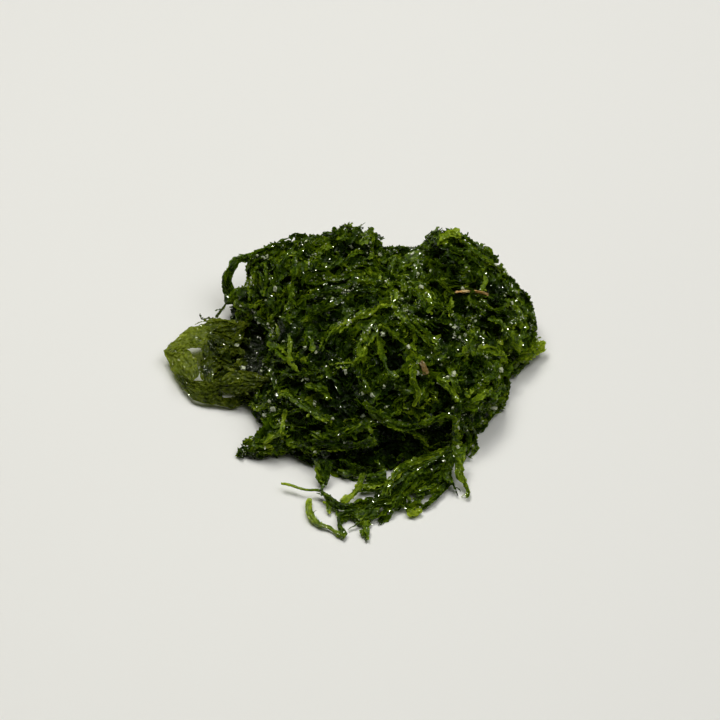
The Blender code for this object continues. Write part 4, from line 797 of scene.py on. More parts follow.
class Ribbons:
    """Ribbons gathered for one piece, as arrays that become one mesh."""

    def __init__(self):
        self.vertices, self.faces, self.tone, self.edge, self.count = [], [], [], [], 0

    def add(self, sheet, tone, edge):
        """Adds ribbons: an array by ribbon, row along it, point across it; with tones and edges of points."""
        number, rows, across = sheet.shape[:3]
        at = self.count + np.arange(number * rows * across).reshape(number, rows, across)
        quads = np.stack([at[:, :-1, :-1], at[:, :-1, 1:], at[:, 1:, 1:], at[:, 1:, :-1]], -1)
        self.vertices.append(sheet.reshape(-1, 3))
        self.faces.append(quads.reshape(-1, 4))
        self.tone.append(np.broadcast_to(tone, sheet.shape[:3]).ravel())
        self.edge.append(np.broadcast_to(edge, sheet.shape[:3]).ravel())
        self.count += sheet[..., 0].size

    def build(self, name):
        """One mesh of all the ribbons."""
        values = {"tone": np.concatenate(self.tone), "edge": np.concatenate(self.edge)}
        return make_mesh(name, np.concatenate(self.vertices), np.concatenate(self.faces), values)


def rolled(half, roll, u):
    """How far aside and how far up each point across a ribbon lies, when it is rolled up by an angle."""
    bend = np.where(np.abs(roll) < 0.05, 0.05, roll)[..., None]
    half = half[..., None]
    return half * np.sin(bend * u) / bend, half * (1 - np.cos(bend * u)) / bend


def ribbon_sheet(paths, ups, width, draw, across=5, curl=1.1, ruffle=0.42, wave_length=2.4, lean=0.5,
                 ragged=0.24, tips=(0.4, 0.3), crumple=0.055):
    """Crumpled ribbons along paths: an array by ribbon, row along it and point across it.

    curl is how far the cross section rolls up, in radians; ruffle is the height of the waves along the edges
    and wave_length their length; lean is how far the ribbon tilts from lying flat, in radians; ragged is how
    uneven the edges are; tips is the share of the full width at either end; crumple is the size of the dents.
    """
    number, rows = paths.shape[:2]
    width = np.broadcast_to(np.asarray(width, float), (number,))[:, None]
    forward = unit(np.gradient(paths, axis=1))
    side = unit(np.cross(forward, ups))
    rise = np.cross(side, forward)
    pitch = np.linalg.norm(np.diff(paths, axis=1), axis=-1).mean(1)[:, None]
    per_mm = 1 / max(float(pitch.mean()), 0.05)

    def wavy(span):
        return drift(draw, number, rows, span * per_mm)

    t = np.linspace(0, 1, rows)[None]
    start, end = tips
    taper = np.minimum(1, np.minimum(start + 7 * t, end + 6 * (1 - t)))
    half = width / 2 * taper * (1 + 0.45 * wavy(3.0))
    lean_now = lean * (draw.normal(0, 1, (number, 1)) + 1.4 * wavy(7))
    curl_now = curl * (draw.normal(0.4, 0.7, (number, 1)) + wavy(5))

    u = np.linspace(-1, 1, across)
    flat, lift = rolled(half, curl_now, u)
    left, right = (np.maximum(0.2, 1 + ragged * 1.6 * wavy(1.1))[..., None] for _ in range(2))
    flat = flat * np.where(u < 0, left, right) ** np.abs(u)

    run = np.cumsum(np.broadcast_to(pitch, (number, rows)), 1) / wave_length
    for share in (u < 0, u > 0):
        turn = 2 * np.pi * (run + 0.6 * wavy(3) + draw.random((number, 1)))
        swing = ruffle * np.minimum(1, half) * np.sin(turn) * (1 + 0.8 * wavy(3))
        lift = lift + np.where(share, np.abs(u) ** 1.5, 0) * swing[..., None]
    lift = lift + crumple * draw.normal(0, 1, lift.shape)

    c, s = np.cos(lean_now)[..., None, None], np.sin(lean_now)[..., None, None]
    side, rise = side[:, :, None], rise[:, :, None]
    flat, lift = flat[..., None], lift[..., None]
    sheet = paths[:, :, None] + flat * (side * c + rise * s) + lift * (rise * c - side * s)
    return above(sheet, LOW_RIBBON)


def edge_of(across):
    """How near each point across a ribbon is to its edge."""
    return np.abs(np.linspace(-1, 1, across))


def tip_glow(rows, amount, power=5):
    """How much lighter each row of a ribbon is towards its far tip."""
    return amount * np.linspace(0, 1, rows)[None, :, None] ** power


def hank_runs(traced):
    """Points along all the hanks and traced strands, the direction of each from above, and its weight."""
    runs = []
    hanks = [[(x, y, 0) for x, y in in_rows(route, 2)] for _, *route in HANKS]
    routes = [(smooth_path(hank, 4.0), 1.0) for hank in hanks]
    routes += [(evenly(path, 3.0), 1.2) for path in traced]
    for path, weight in routes:
        way = unit(np.gradient(path[:, :2], axis=0))
        runs.append(np.column_stack([path[:, :2], way, np.full(len(path), weight)]))
    return np.concatenate(runs)


def run_direction(points, runs):
    """Direction of the hanks round points, as angles. Opposite directions count as the same one."""
    away = np.sum((points[:, None, :2] - runs[None, :, :2]) ** 2, -1)
    weight = runs[:, 4] / (away + 10) ** 2
    twice = 2 * np.arctan2(runs[:, 3], runs[:, 2])
    return 0.5 * np.arctan2(weight @ np.sin(twice), weight @ np.cos(twice))


def lay(field, runs, starts, rows, lengths, turns, levels, draw, wander=0.35):
    """Paths that follow the hanks over the heap through their starts, turned from them by an angle each."""
    number = len(starts)
    step = (lengths / (rows - 1))[:, None]
    halves = []
    for hand in (-1, 1):
        points = starts.copy()
        angle = None
        stray = wander * drift(draw, number, rows, rows / 5)
        path = []
        for i in range(rows // 2):
            fresh = run_direction(points, runs) + turns
            angle = fresh if angle is None else angle + 0.25 * np.arctan(np.tan(fresh - angle))
            now = angle + stray[:, i]
            way = np.stack([np.cos(now), np.sin(now), np.zeros(number)], 1) * hand
            normal = field.outward(points)
            way = unit(way - normal * np.sum(way * normal, 1, keepdims=True))
            points = points + way * step
            points = above(points + (levels - field.at(points))[:, None] * normal * 0.5, LOW_SKIN)
            path.append(points)
        halves.append(path)
    return np.stack(halves[0][::-1] + [starts] + halves[1], 1)


def spread_starts(field, number, level, draw, apart=0.0, tries=60, batch=8000, margin=4, near=1.5):
    """Points spread over the heap's surface, as many on each part as it is large, and kept apart if asked."""
    found = np.zeros((0, 3))
    for _ in range(tries):
        points = draw.uniform(GRID_LOW + margin, GRID_HIGH - margin, (batch, 3))
        points = points[points[:, 2] > LOW_SKIN]
        points = field.settle(points[np.abs(field.at(points) - level) < near], level)
        if apart:
            for point in points:
                if not len(found) or np.min(np.linalg.norm(found - point, axis=1)) > apart:
                    found = np.concatenate([found, point[None]])
        else:
            found = np.concatenate([found, points])
        if len(found) >= number:
            break
    return found[:number]


def bundle_of(points):
    """The bundle that each point belongs to, by number."""
    return np.argmin([bundle_distance(points, lobes) for lobes in LOBES.values()], axis=0)


def sink_ends(levels, rows, loose_share, depth, draw):
    """A level for each row: ends that go down into the heap, and loose tips that stand off it."""
    t = np.linspace(-1, 1, rows)[None]
    low = -depth * np.abs(t) ** 4
    free = np.where(t < 0, low, draw.uniform(0.2, 1.4, (len(levels), 1)) * np.maximum(t, 0) ** 2)
    loose = draw.random((len(levels), 1)) < loose_share
    return levels[:, None] + np.where(loose, free, low) + 0.7 * drift(draw, len(levels), rows, rows / 6)


def cover(field, runs, number, rows, lengths, level, draw, turn=0.5, apart=0.0, depth=3.0, wander=0.35):
    """Paths spread all over the heap, and the bundle that each belongs to."""
    starts = spread_starts(field, number, sum(level) / 2, draw, apart)
    number = len(starts)
    levels = draw.uniform(*level, number)
    spans, turns = draw.uniform(*lengths, number), draw.normal(0, turn, number)
    paths = lay(field, runs, starts, rows, spans, turns, levels, draw, wander)
    paths = field.settle(paths, sink_ends(levels, paths.shape[1], LOOSE_SHARE, depth, draw), 3)
    return paths, bundle_of(starts)


def ropes(middles, ups, half_width, half_height, number, draw, fray=0.6):
    """Several paths along each middle line, which run together and twist as one hank does."""
    hanks, rows = middles.shape[:2]
    every = hanks * number
    forward = unit(np.gradient(middles, axis=1))
    side = unit(np.cross(forward, ups))
    rise = np.cross(side, forward)
    pitch = np.linalg.norm(np.diff(middles, axis=1), axis=-1).mean()
    angle = draw.uniform(0, 2 * np.pi, (every, 1)) + 2.0 * drift(draw, every, rows, 12 / pitch)
    far = np.sqrt(draw.random((every, 1))) * (1 + fray * np.linspace(-1, 1, rows)[None] ** 4)
    far = far + 0.2 * drift(draw, every, rows, 3 / pitch)
    wide, high = (np.repeat(np.broadcast_to(half, (hanks,)), number)[:, None]
                  for half in (half_width, half_height))
    side, rise = np.repeat(side, number, 0), np.repeat(rise, number, 0)
    paths = np.repeat(middles, number, 0) + (wide * far * np.cos(angle))[..., None] * side
    paths = above(paths + (high * far * np.sin(angle))[..., None] * rise, LOW_PATH)
    return paths, unit(side * np.cos(angle)[..., None] * 0.6 + rise * (0.8 + np.sin(angle))[..., None])


def sprigs(paths, ups, number, draw, length=(2.5, 7), width=(0.7, 1.6), rows=9, lift=(0.0, 0.45)):
    """Short side shoots that start on paths and curl over beside them: their sheets and parents."""
    who = draw.integers(0, len(paths), number)
    where = draw.integers(2, paths.shape[1] - 2, number)
    start, up = paths[who, where], ups[who, where]
    forward = unit(paths[who, where + 1] - paths[who, where - 1])
    side = np.cross(forward, up)
    swing = draw.uniform(0.3, 1.3, number) * draw.choice([-1, 1], number)
    rise = draw.uniform(*lift, number)
    way = forward * np.cos(swing)[:, None] + side * np.sin(swing)[:, None] + up * np.tan(rise)[:, None]
    way = unit(way)
    bend = unit(np.cross(way, up)) * draw.choice([-1, 1], (number, 1)) - 0.4 * up
    t = np.linspace(0, 1, rows)[None, :, None]
    span = draw.uniform(*length, number)[:, None, None]
    arch = draw.uniform(0.1, 0.7, number)[:, None, None]
    shoots = above(start[:, None] + span * (way[:, None] * t + bend[:, None] * arch * t**2), LOW_PATH)
    sheet = ribbon_sheet(shoots, np.repeat(up[:, None], rows, 1), draw.uniform(*width, number), draw, 3,
                         curl=0.8, ruffle=0.3, wave_length=2.0, lean=0.7, tips=(0.8, 0.35))
    return sheet, who


def core_shape(field, lobes, level, around=72, up=18):
    """Vertices and faces of a bundle's core, a lumpy dome that is painted near black as shade."""
    centre = np.array([*np.mean([lobe[:2] for lobe in lobes], axis=0), 0.0])
    rise = np.linspace(0, np.pi / 2, up)[:, None]
    turn = np.linspace(0, 2 * np.pi, around, endpoint=False)[None]
    ways = np.stack([np.cos(turn) * np.cos(rise), np.sin(turn) * np.cos(rise), np.sin(rise) + 0 * turn], -1)
    steps = np.arange(1, 76, 0.5)
    places = centre + steps[:, None] * ways[:, :, None]
    value = bundle_distance(places.reshape(-1, 3), lobes).reshape(places.shape[:3])
    value = np.maximum(value, field.at(places)) - level
    last = np.where(value < 0, np.arange(len(steps)), 0).max(-1)
    vertices = above(centre + ways * steps[last][..., None], LOW_GRAIN)
    at = np.arange(up * around).reshape(up, around)
    beside = np.roll(at, -1, 1)
    quads = np.stack([at[:-1], beside[:-1], beside[1:], at[1:]], -1)
    return vertices.reshape(-1, 3), quads.reshape(-1, 4)


def add_strand(ribbons, middle, ups, count, spread, width, tone, draw, across=5, glow=0.12,
               sprigged=60, **style):
    """Adds the ribbons of one strand along its middle line, and a sprig for every so many of its points."""
    paths, faces = ropes(middle[None], ups[None], spread / 2, spread / 3, count, draw)
    sheet = ribbon_sheet(paths, faces, width * draw.uniform(0.75, 1.25, count), draw, across, **style)
    tones = tone + draw.normal(0, 0.07, (count, 1, 1)) + 0.10 * drift(draw, count, len(middle), 6)[..., None]
    ribbons.add(sheet, tones + tip_glow(sheet.shape[1], glow), edge_of(across))
    number = int(len(middle) * count / sprigged)
    if number and len(middle) > 8:
        shoots, _ = sprigs(paths, faces, number, draw, length=(1.0, 3.4), width=(0.6, 1.4))
        tones = tone + 0.02 + draw.normal(0, 0.10, (number, 1, 1))
        ribbons.add(shoots, tones + tip_glow(shoots.shape[1], 0.1), edge_of(3))


class Surface:
    """A material under way: its nodes, and the shader that they feed."""

    def __init__(self, name):
        self.material = bpy.data.materials.new(name)
        self.material.use_nodes = True
        self.nodes, self.links = self.material.node_tree.nodes, self.material.node_tree.links
        self.shader = self.nodes["Principled BSDF"]
        self.places = self.add("ShaderNodeTexCoord").outputs["Object"]

    def give(self, socket, value):
        """Sets an input to a value, or joins it to what another node gives out."""
        if isinstance(value, bpy.types.NodeSocket):
            self.links.new(value, socket)
        else:
            socket.default_value = value

    def feed(self, node, **inputs):
        """Gives a node its inputs, each under its name with _ for a space."""
        for key, value in inputs.items():
            self.give(node.inputs[key.replace("_", " ")], value)

    def add(self, kind, **inputs):
        """A new node with these inputs."""
        node = self.nodes.new(kind)
        self.feed(node, **inputs)
        return node

    def combine(self, kind, operation, *values):
        """What a node gives out that works on numbers or on vectors."""
        node = self.nodes.new(kind)
        node.operation = operation
        for socket, value in zip(node.inputs, values):
            self.give(socket, value)
        return node.outputs[0]

    def attribute(self, name):
        """A value kept on the mesh."""
        node = self.nodes.new("ShaderNodeAttribute")
        node.attribute_name = name
        return node.outputs["Fac"]

    def noise(self, scale, detail=2.0):
        """A cloudy value between 0 and 1."""
        return self.add("ShaderNodeTexNoise", Scale=scale, Detail=detail, Vector=self.places).outputs["Fac"]

    def ramp(self, value, wanted):
        """A colour that follows a value, from pairs of a position and a colour."""
        node = self.add("ShaderNodeValToRGB", Fac=value)
        stops = node.color_ramp.elements
        while len(stops) < len(wanted):
            stops.new(0.5)
        for stop, (at, rgb) in zip(stops, wanted):
            stop.position = at
            stop.color = (*rgb, 1)
        return node.outputs["Color"]

    def relief(self, height, strength, distance):
        """Bumps on the surface."""
        bump = self.add("ShaderNodeBump", Strength=strength, Distance=distance, Height=height)
        self.feed(self.shader, Normal=bump.outputs["Normal"])

    def wet_facets(self, scale, tilt):
        """Breaks the glossy coat into small flat facets, each tilted its own way, so that it glints."""
        facets = self.add("ShaderNodeTexVoronoi", Scale=scale, Vector=self.places)
        kind = "ShaderNodeVectorMath"
        centred = self.combine(kind, "SUBTRACT", facets.outputs["Color"], (0.5, 0.5, 0.5))
        normal = self.add("ShaderNodeNewGeometry").outputs["True Normal"]
        tilted = self.combine(kind, "MULTIPLY_ADD", centred, (tilt, tilt, tilt), normal)
        self.feed(self.shader, Coat_Normal=self.combine(kind, "NORMALIZE", tilted))


def frond_material(name, colours, lit_colours, translucency):
    """Wet frond: coloured by each strand's tone, which also holds painted shade, lighter where light comes
    through, crinkled and glossy.
    """
    surface = Surface(name)
    shader = surface.shader

    def maths(operation, first, second):
        return surface.combine("ShaderNodeMath", operation, first, second)

    def centred(value, size):
        return maths("MULTIPLY", maths("SUBTRACT", value, 0.5), size)

    blotches, crinkles, grain = surface.noise(260), surface.noise(900, 3.0), surface.noise(2600)
    rim = maths("MULTIPLY", maths("POWER", surface.attribute("edge"), 3.0), 0.10)
    # The tone on each mesh also holds painted shade: lower in the hollows, in the darker patches and on the
    # cores.
    shade = maths("ADD", surface.attribute("tone"), centred(blotches, 0.6))
    shade = maths("ADD", shade, maths("ADD", centred(crinkles, 0.6), rim))
    shade = maths("ADD", shade, centred(grain, 0.45))

    rough = surface.add("ShaderNodeMapRange", Value=crinkles, To_Min=0.30, To_Max=0.50)
    surface.feed(shader, Base_Color=surface.ramp(shade, colours), Roughness=rough.outputs["Result"])
    surface.feed(shader, IOR=1.4, Specular_IOR_Level=0.12)
    surface.feed(shader, Coat_Weight=0.8, Coat_Roughness=0.10, Coat_IOR=1.5)
    surface.relief(maths("ADD", crinkles, maths("MULTIPLY", grain, 0.08)), 0.8, 0.00045)
    surface.wet_facets(1300, 0.6)

    through = surface.add("ShaderNodeBsdfTranslucent", Color=surface.ramp(shade, lit_colours))
    both = surface.add("ShaderNodeMixShader", Fac=translucency)
    surface.give(both.inputs[1], shader.outputs["BSDF"])
    surface.give(both.inputs[2], through.outputs["BSDF"])
    surface.feed(surface.nodes["Material Output"], Surface=both.outputs["Shader"])
    return surface.material


def mottled_material(name, colours, scale, roughness, bump_height=0.0003, **coat):
    """A surface mottled between two colours, with a little relief."""
    surface = Surface(name)
    noise = surface.noise(scale, 3.0)
    colour = surface.ramp(noise, list(zip((0.35, 0.65), colours)))
    surface.feed(surface.shader, Base_Color=colour, Roughness=roughness, **coat)
    surface.relief(noise, 0.5, bump_height)
    if coat:
        surface.wet_facets(2200, 1.0)
    return surface.material


def make_materials():
    """All the materials, by the record's slot."""
    stalk = [(0.84, 0.66, 0.30), (0.62, 0.33, 0.08)]
    # The fleck's brown is darker than the stalk's tan, partly as painted shade.
    fleck = [(0.22, 0.145, 0.035), (0.12, 0.070, 0.012)]
    salt = [(0.94, 0.97, 0.74), (0.78, 0.86, 0.52)]
    return {
        "deep_frond": frond_material("deep_frond", GREEN, GREEN_LIT, 0.35),
        "olive_frond": frond_material("olive_frond", OLIVE, OLIVE_LIT, 0.45),
        "bright_frond": frond_material("bright_frond", BRIGHT, BRIGHT_LIT, 0.45),
        "dried_stalk": mottled_material("dried_stalk", stalk, 420, 0.5),
        "brown_fleck_in_painted_shade": mottled_material("brown_fleck_in_painted_shade", fleck, 600, 0.5),
        "salt": mottled_material("salt", salt, 1500, 0.15, 0.00005, Transmission_Weight=0.35, IOR=1.6,
                                 Coat_Weight=1.0, Coat_Roughness=0.02, Coat_IOR=1.8),
    }


def dress(piece, materials, slot, *nodes):
    """Gives a piece its material and its body, and hides the nodes that it stands for."""
    piece.data.materials.append(materials[slot])
    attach(piece, "root")
    if nodes:
        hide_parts(*nodes)
    return piece


def crystal():
    """A salt crystal's shape: a small block with its edges cut off. Vertices and triangles, one across."""
    work = bmesh.new()
    bmesh.ops.create_cube(work, size=1.0)
    bmesh.ops.bevel(work, geom=work.edges[:] + work.verts[:], offset=0.18, segments=1, affect="EDGES")
    bmesh.ops.triangulate(work, faces=work.faces)
    work.verts.ensure_lookup_table()
    vertices = np.array([vert.co[:] for vert in work.verts])
    faces = np.array([[vert.index for vert in face.verts] for face in work.faces])
    work.free()
    return vertices, faces


def random_turns(number, draw):
    """Random rotations, as matrices."""
    first = unit(draw.normal(size=(number, 3)))
    second = unit(np.cross(first, draw.normal(size=(number, 3))))
    return np.stack([first, second, np.cross(first, second)], 1)


def speck():
    """The shape of a speck, salt dust that partly stands for a wet glint as painted highlight, with eight
    faces. Vertices and triangles, one across.
    """
    vertices = np.array([(0.5, 0, 0), (-0.5, 0, 0), (0, 0.5, 0), (0, -0.5, 0), (0, 0, 0.5), (0, 0, -0.5)])
    faces = [(a, b, 4) for a, b in ((0, 2), (2, 1), (1, 3), (3, 0))]
    faces += [(b, a, 5) for a, b in ((0, 2), (2, 1), (1, 3), (3, 0))]
    return vertices, np.array(faces)


def salt_grains(name, shape, places, sizes, draw):
    """One mesh of salt crystals, each of its own size, squash and turn."""
    vertices, faces = shape
    number = len(places)
    squash = draw.uniform(0.5, 1.2, (number, 1, 3))
    rough = vertices[None] * squash * (1 + 0.2 * draw.normal(size=(number, len(vertices), 1)))
    grains = np.einsum("nvk,nkj->nvj", rough * sizes[:, None, None], random_turns(number, draw))
    grains = above(grains + places[:, None], LOW_GRAIN)
    every = faces[None] + np.arange(number)[:, None, None] * len(vertices)
    return make_mesh(name, grains.reshape(-1, 3), every.reshape(-1, 3), {}, smooth=False)


def make_floor(far=3.0):
    """A plain pale floor."""
    mesh = bpy.data.meshes.new("floor")
    mesh.from_pydata([(-far, -far, 0), (far, -far, 0), (far, far, 0), (-far, far, 0)], [], [(0, 1, 2, 3)])
    floor = link(bpy.data.objects.new("floor", mesh))
    pale = [(0.80, 0.795, 0.765), (0.81, 0.805, 0.775)]
    floor.data.materials.append(mottled_material("pale_floor", pale, 3, 0.6, 0.00001))


def area_light(name, position, size, power, colour, glints):
    """A square light that faces the heap, and either shades it or shows in its wet gloss."""
    data = bpy.data.lights.new(name, "AREA")
    data.shape = "SQUARE"
    data.size = size
    data.energy = power
    data.color = colour
    light = link(bpy.data.objects.new(name, data))
    light.location = position
    light.visible_diffuse = not glints
    light.visible_glossy = glints
    light.rotation_euler = (-Vector(position)).to_track_quat("-Z", "Y").to_euler()


def make_lights():
    """Two large soft lights that shade the heap, two small ones that make it glint, and a pale sky."""
    yellowish = (1.0, 1.0, 0.86)
    area_light("key_light", (-0.40, 0.65, 1.7), 0.9, 19.6, (1.0, 0.99, 0.97), glints=False)
    area_light("fill_light", (0.8, 0.1, 1.6), 1.4, 16.0, (1.0, 1.0, 1.0), glints=False)
    area_light("left_light", (-0.60, 0.72, 1.7), 0.14, 22, yellowish, glints=True)
    area_light("back_light", (-0.10, 1.00, 1.6), 0.14, 22, yellowish, glints=True)
    world = bpy.data.worlds.new("sky")
    world.use_nodes = True
    sky = world.node_tree.nodes["Background"].inputs
    sky["Color"].default_value = (1.0, 1.0, 0.84, 1)
    sky["Strength"].default_value = 0.04
    bpy.context.scene.world = world


def make_camera():
    """The camera, at the photograph's angle."""
    data = bpy.data.cameras.new("camera")
    data.lens = LENS
    data.sensor_width = SENSOR
    data.clip_end = 20
    camera = link(bpy.data.objects.new("camera", data))
    axes = np.stack([np.array([1.0, 0, 0]), CAMERA_UP, CAMERA_BACK], 1)
    camera.matrix_world = Matrix.Translation(Vector(place(CAMERA_PLACE))) @ Matrix(axes.tolist()).to_4x4()
    bpy.context.scene.camera = camera


def soften(path, rounds):
    """Evens out a path's bends, in place, between its ends."""
    for _ in range(rounds):
        path[1:-1] = (path[:-2] + 2 * path[1:-1] + path[2:]) / 4


def trace_strands(skin):
    """The middle lines of the traced strands, on the heap's skin."""
    paths = []
    for _, _, _, _, level, *route in TRACED:
        path = on_heap(skin, smooth_path(in_rows(route, 2), PIXEL_STEP), level)
        soften(path, 6)
        highest = level + STRAND_SLACK
        path = np.where(skin.at(path)[:, None] > highest, skin.settle(path, highest), path)
        soften(path, 3)
        paths.append(evenly(path, STRAND_PITCH))
    return paths


def make_traced(skin, paths, materials):
    """The traced strands, as one piece for each bundle that carries them."""
    draw = np.random.default_rng(TRACED_SEED)
    owners = bundle_of(np.array([path[len(path) // 2] for path in paths]))
    for number, name in enumerate(LOBES):
        ribbons = Ribbons()
        for (count, spread, width, tone, *_), path, owner in zip(TRACED, paths, owners):
            if owner == number:
                tone = TRACED_DARKEST + TRACED_CONTRAST * tone
                add_strand(ribbons, path, skin.outward(path), count, spread, width, tone, draw, sprigged=18)
        if ribbons.count:
            dress(ribbons.build(f"{name}_strands"), materials, "deep_frond", name)


def ribbon_layer(field, runs, draw, number, rows, lengths, level, widths, tone, across, glow, laying, style):
    """A layer of ribbons all over the heap: sheet, tone and bundle of each, and the glow of their tips."""
    paths, owner = cover(field, runs, number, rows, lengths, level, draw, **laying)
    width = draw.uniform(*widths, len(paths))
    sheet = ribbon_sheet(paths, field.outward(paths), width, draw, across, **style)
    return sheet, draw.normal(*tone, len(paths)), owner, glow


def hank_layer(field, runs, draw):
    """Hanks of ribbons over the heap, and their sprigs, in the same form. Gives back their paths too."""
    middles, owner = cover(field, runs, HANK_ROPES, 51, (18, 40), (-1.8, 0.5), draw, 0.8, apart=6.0,
                           depth=4.0, wander=0.9)
    paths, ups = ropes(middles, field.outward(middles), draw.uniform(0.7, 2.0, len(middles)),
                       draw.uniform(0.5, 1.2, len(middles)), HANK_RIBBONS, draw)
    sheet = ribbon_sheet(paths, ups, draw.uniform(1.3, 3.2, len(paths)), draw, 5)
    tones = np.repeat(draw.normal(0.40, 0.09, len(middles)), HANK_RIBBONS)
    tones = tones + draw.normal(0, 0.05, len(paths))
    owner = np.repeat(owner, HANK_RIBBONS)
    shoots, who = sprigs(paths, ups, HANK_SPRIGS, draw, length=(1.2, 4.5), width=(0.5, 1.3))
    return [(sheet, tones, owner, 0.1), (shoots, tones[who] + 0.10, owner[who], 0.15)], paths


def make_layers(field, runs):
    """All the layers of ribbons on the heap, each as batches, and the paths of the hanks."""
    draw = np.random.default_rng(BUNDLE_SEED)
    layers = {name: [ribbon_layer(field, runs, draw, *LAYERS[name])] for name in ("under", "middle")}
    layers["hanks"], hank_paths = hank_layer(field, runs, draw)
    for name in ("over", "blades", "frizz"):
        layers[name] = [ribbon_layer(field, runs, draw, *LAYERS[name])]
    return layers, hank_paths


def make_core(field, name, lobes, materials):
    """The middle of a bundle, painted near black: painted shade deep inside the heap."""
    vertices, faces = core_shape(field, lobes, CORE_LEVEL)
    shade = {"tone": np.full(len(vertices), CORE_SHADE_TONE), "edge": np.zeros(len(vertices))}
    dress(make_mesh(f"{name}_core", vertices, faces, shade), materials, "deep_frond", name)


def make_bundles(field, layers, hollows, patches, materials):
    """The bundles: each a core painted near black as shade, and its share of every layer, with painted shade
    in the hollows and in the darker patches, and a lighter green in the lighter patches.
    """
    for number, (name, lobes) in enumerate(LOBES.items()):
        make_core(field, name, lobes, materials)
        for layer, batches in layers.items():
            ribbons = Ribbons()
            for sheet, tones, owner, glow in batches:
                mine = owner == number
                # Painted shade: the tone is lowered in the hollows and in the darker patches.
                glow_and_shade = tip_glow(sheet.shape[1], glow) - HOLLOW_PAINTED_SHADE * hollowness(sheet[mine], hollows)
                glow_and_shade = glow_and_shade + patch_tone_and_shade(sheet[mine], patches)
                ribbons.add(sheet[mine], tones[mine][:, None, None] + glow_and_shade, edge_of(sheet.shape[2]))
            if ribbons.count:
                dress(ribbons.build(f"{name}_{layer}"), materials, "deep_frond", name)


def on_plane(route):
    """Points in space from pixels and heights over the floor."""
    route = np.array(route, float)
    ways = rays(route[:, :2])
    reach = (CAMERA_PLACE[2] - route[:, 2]) / -ways[:, 2]
    return CAMERA_PLACE + reach[:, None] * ways


def membrane(near, far, draw, pitch=0.42, bulge=0.7, wrinkle=0.35):
    """A thin wrinkled sheet between two edges given in pixels with heights, and the wrinkles' rise."""
    routes = [smooth_path(in_rows(edge, 3), 0.5) for edge in (near, far)]
    rows = int(max(len(route) for route in routes) * 0.5 / PIXELS_PER_MM / pitch)
    near, far = (spaced(route, rows) for route in routes)
    widest = np.linalg.norm((near - far)[:, :2], axis=1).max() / PIXELS_PER_MM
    across = max(5, int(widest / pitch))
    share = np.linspace(0, 1, across)[None, :, None]
    sheet = near[:, None] * (1 - share) + far[:, None] * share
    folds = lumps((rows, 3 * across), 2.6, int(draw.integers(1e6)))[:, ::3]
    dents = draw.normal(0, 0.06, folds.shape)
    room = np.minimum(1, np.linalg.norm(near - far, axis=1) / 6)[:, None]
    sheet[..., 2] += bulge * 4 * (share * (1 - share))[..., 0] * room + wrinkle * folds * room + dents
    for side, outward in ((0, near - far), (-1, far - near)):
        fray = 0.5 * drift(draw, 1, rows, 3)[0] + 0.35 * drift(draw, 1, rows, 1.5)[0]
        sheet[:, side, :2] += unit(outward[:, :2]) * (fray * room[:, 0])[:, None]
    sheet = on_plane(sheet.reshape(-1, 3)).reshape(rows, across, 3)
    return above(sheet, LOW_RIBBON), folds


def add_sheets(ribbons, sheets, draw):
    """Adds thin sheets, each with its tones."""
    for tone, far_tone, near, far in sheets:
        sheet, folds = membrane(near, far, draw)
        tones = tone + (far_tone - tone) * np.linspace(0, 1, len(sheet))[:, None] + 0.09 * folds
        ribbons.add(sheet[None], tones[None], edge_of(sheet.shape[1]))


def add_loose(ribbons, strands, draw):
    """Adds strands given in pixels with their heights over the floor."""
    for count, spread, width, tone, glow, *route in strands:
        middle = smooth_path(on_plane(in_rows(route, 3)), 0.55)
        add_strand(ribbons, middle, np.tile(UP, (len(middle), 1)), count, spread, width, tone + 0.05, draw,
                   glow=glow, curl=1.3, ruffle=0.45, sprigged=24)


def make_loose_pieces(materials):
    """The blades and bundles that stand apart from the heap."""
    draw = np.random.default_rng(LOOSE_SEED)
    for name, slot in LOOSE_SLOTS.items():
        ribbons = Ribbons()
        add_sheets(ribbons, SHEETS[name], draw)
        add_loose(ribbons, LOOSE_STRANDS[name], draw)
        dress(ribbons.build(name + "_fronds"), materials, slot, name)


def make_tan_pieces(materials):
    """The dried stalk and the fleck on top of the heap, smooth and without sprigs; the fleck's dark brown is
    partly painted shade.
    """
    draw = np.random.default_rng(TAN_SEED)
    for name, (look, width, roll, route) in TAN_PIECES.items():
        ribbons = Ribbons()
        middle = smooth_path(in_rows(route, 3), 0.4)
        add_strand(ribbons, middle, np.tile(UP, (len(middle), 1)), 5, width * 0.5, width * 0.6, 0.5, draw,
                   curl=roll, ruffle=0.1, tips=(0.9, 0.9), sprigged=1000)
        dress(ribbons.build(name + "_fibres"), {"dried_stalk": materials[look]}, "dried_stalk", name)


def frond_surfaces():
    """The fronds made so far, each as a tree of faces that a ray can be tried against."""
    graph = bpy.context.evaluated_depsgraph_get()
    return [BVHTree.FromObject(obj, graph) for obj in bpy.data.objects
            if obj.type == "MESH" and "tone" in obj.data.attributes]


def settle(surfaces, starts, ways, instead):
    """Where each ray first meets a frond, or else the point to use instead. All in plan millimetres."""
    found = np.array(instead, float)
    for row, (start, way) in enumerate(zip(place(starts), unit(ways))):
        hits = [surface.ray_cast(Vector(start), Vector(way), RAY_LENGTH) for surface in surfaces]
        hits = [(distance, spot) for spot, _, _, distance in hits if spot is not None]
        if hits:
            nearest = min(hits, key=lambda hit: hit[0])[1]
            found[row] = (np.array(nearest) - place(np.zeros(3))) / MM
    return found


def open_fronds(field, skin, paths, deepest=-0.4, steepest=0.1, hollowest=0.3):
    """The points of paths that lie open to the sky, on the heap's surface and out of its hollows."""
    points = paths.reshape(-1, 3)
    points = points[field.at(points) > deepest]
    points = points[field.outward(points)[:, 2] > steepest]
    return points[hollowness(points, hollow_spots(skin)) < hollowest]


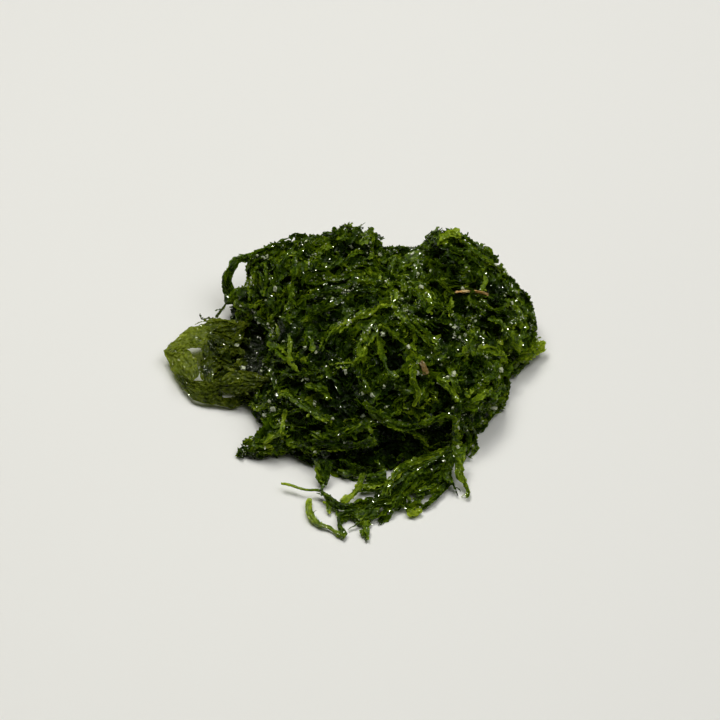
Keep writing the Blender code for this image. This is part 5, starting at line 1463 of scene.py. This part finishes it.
def small_grains(field, points, surfaces, draw):
    """Places and sizes of grains that lie on the fronds round chosen points."""
    chosen = points[draw.choice(len(points), SMALL_GRAINS, replace=False)]
    outward = field.outward(chosen)
    sizes = np.clip(draw.lognormal(-0.55, 0.35, len(chosen)), *GRAIN_SIZES)
    places = settle(surfaces, chosen + DROP_HEIGHT * outward, -outward, chosen)
    return places + GRAIN_RISE * sizes[:, None] * outward, sizes


def large_grains(skin, surfaces):
    """Places and sizes of the large grains that the photograph shows."""
    grains = np.array(in_rows(LARGE_GRAINS, 3), float)
    pixels, sizes = grains[:, :2], grains[:, 2]
    ways = unit(rays(pixels))
    starts = np.broadcast_to(CAMERA_PLACE, ways.shape)
    places = settle(surfaces, starts, ways, on_heap(skin, pixels, 0))
    return places - GRAIN_RISE * sizes[:, None] * ways, sizes


def make_salt(field, skin, paths, materials):
    """Salt crystals on the upper fronds: small ones by rule, large ones as in the photograph, and specks,
    which partly stand for wet glints as painted highlight.
    """
    draw = np.random.default_rng(SALT_SEED)
    surfaces = frond_surfaces()
    points = open_fronds(field, skin, paths)
    small, small_sizes = small_grains(field, points, surfaces, draw)
    large, large_sizes = large_grains(skin, surfaces)
    places, sizes = np.concatenate([small, large]), np.concatenate([small_sizes, large_sizes])
    dress(salt_grains("salt_grains", crystal(), places, sizes, draw), materials, "salt")
    # Specks of salt dust that partly stand for wet glints: painted highlight.
    specks = points[draw.choice(len(points), SALT_AND_GLINT_SPECKS)] + draw.normal(0, 0.4, (SALT_AND_GLINT_SPECKS, 3))
    outward = field.outward(specks)
    specks = settle(surfaces, specks + DROP_HEIGHT * outward, -outward, specks) + SPECK_RISE * outward
    sizes = draw.uniform(*SPECK_SIZES, SALT_AND_GLINT_SPECKS)
    dress(salt_grains("salt_specks", speck(), specks, sizes, draw), materials, "salt")


make_camera()
make_lights()
make_floor()
skin_field = carve(heap_field(), TRIMS, through=True)
traced_paths = trace_strands(skin_field)
heap = carve(skin_field, HOLLOWS)
slot_materials = make_materials()
heap_layers, hank_paths = make_layers(heap, hank_runs(traced_paths))
make_bundles(heap, heap_layers, hollow_spots(skin_field), patch_spots(skin_field), slot_materials)
make_traced(skin_field, traced_paths, slot_materials)
make_loose_pieces(slot_materials)
make_tan_pieces(slot_materials)
make_salt(heap, skin_field, hank_paths, slot_materials)

bpy.context.scene.view_settings.view_transform = "Standard"
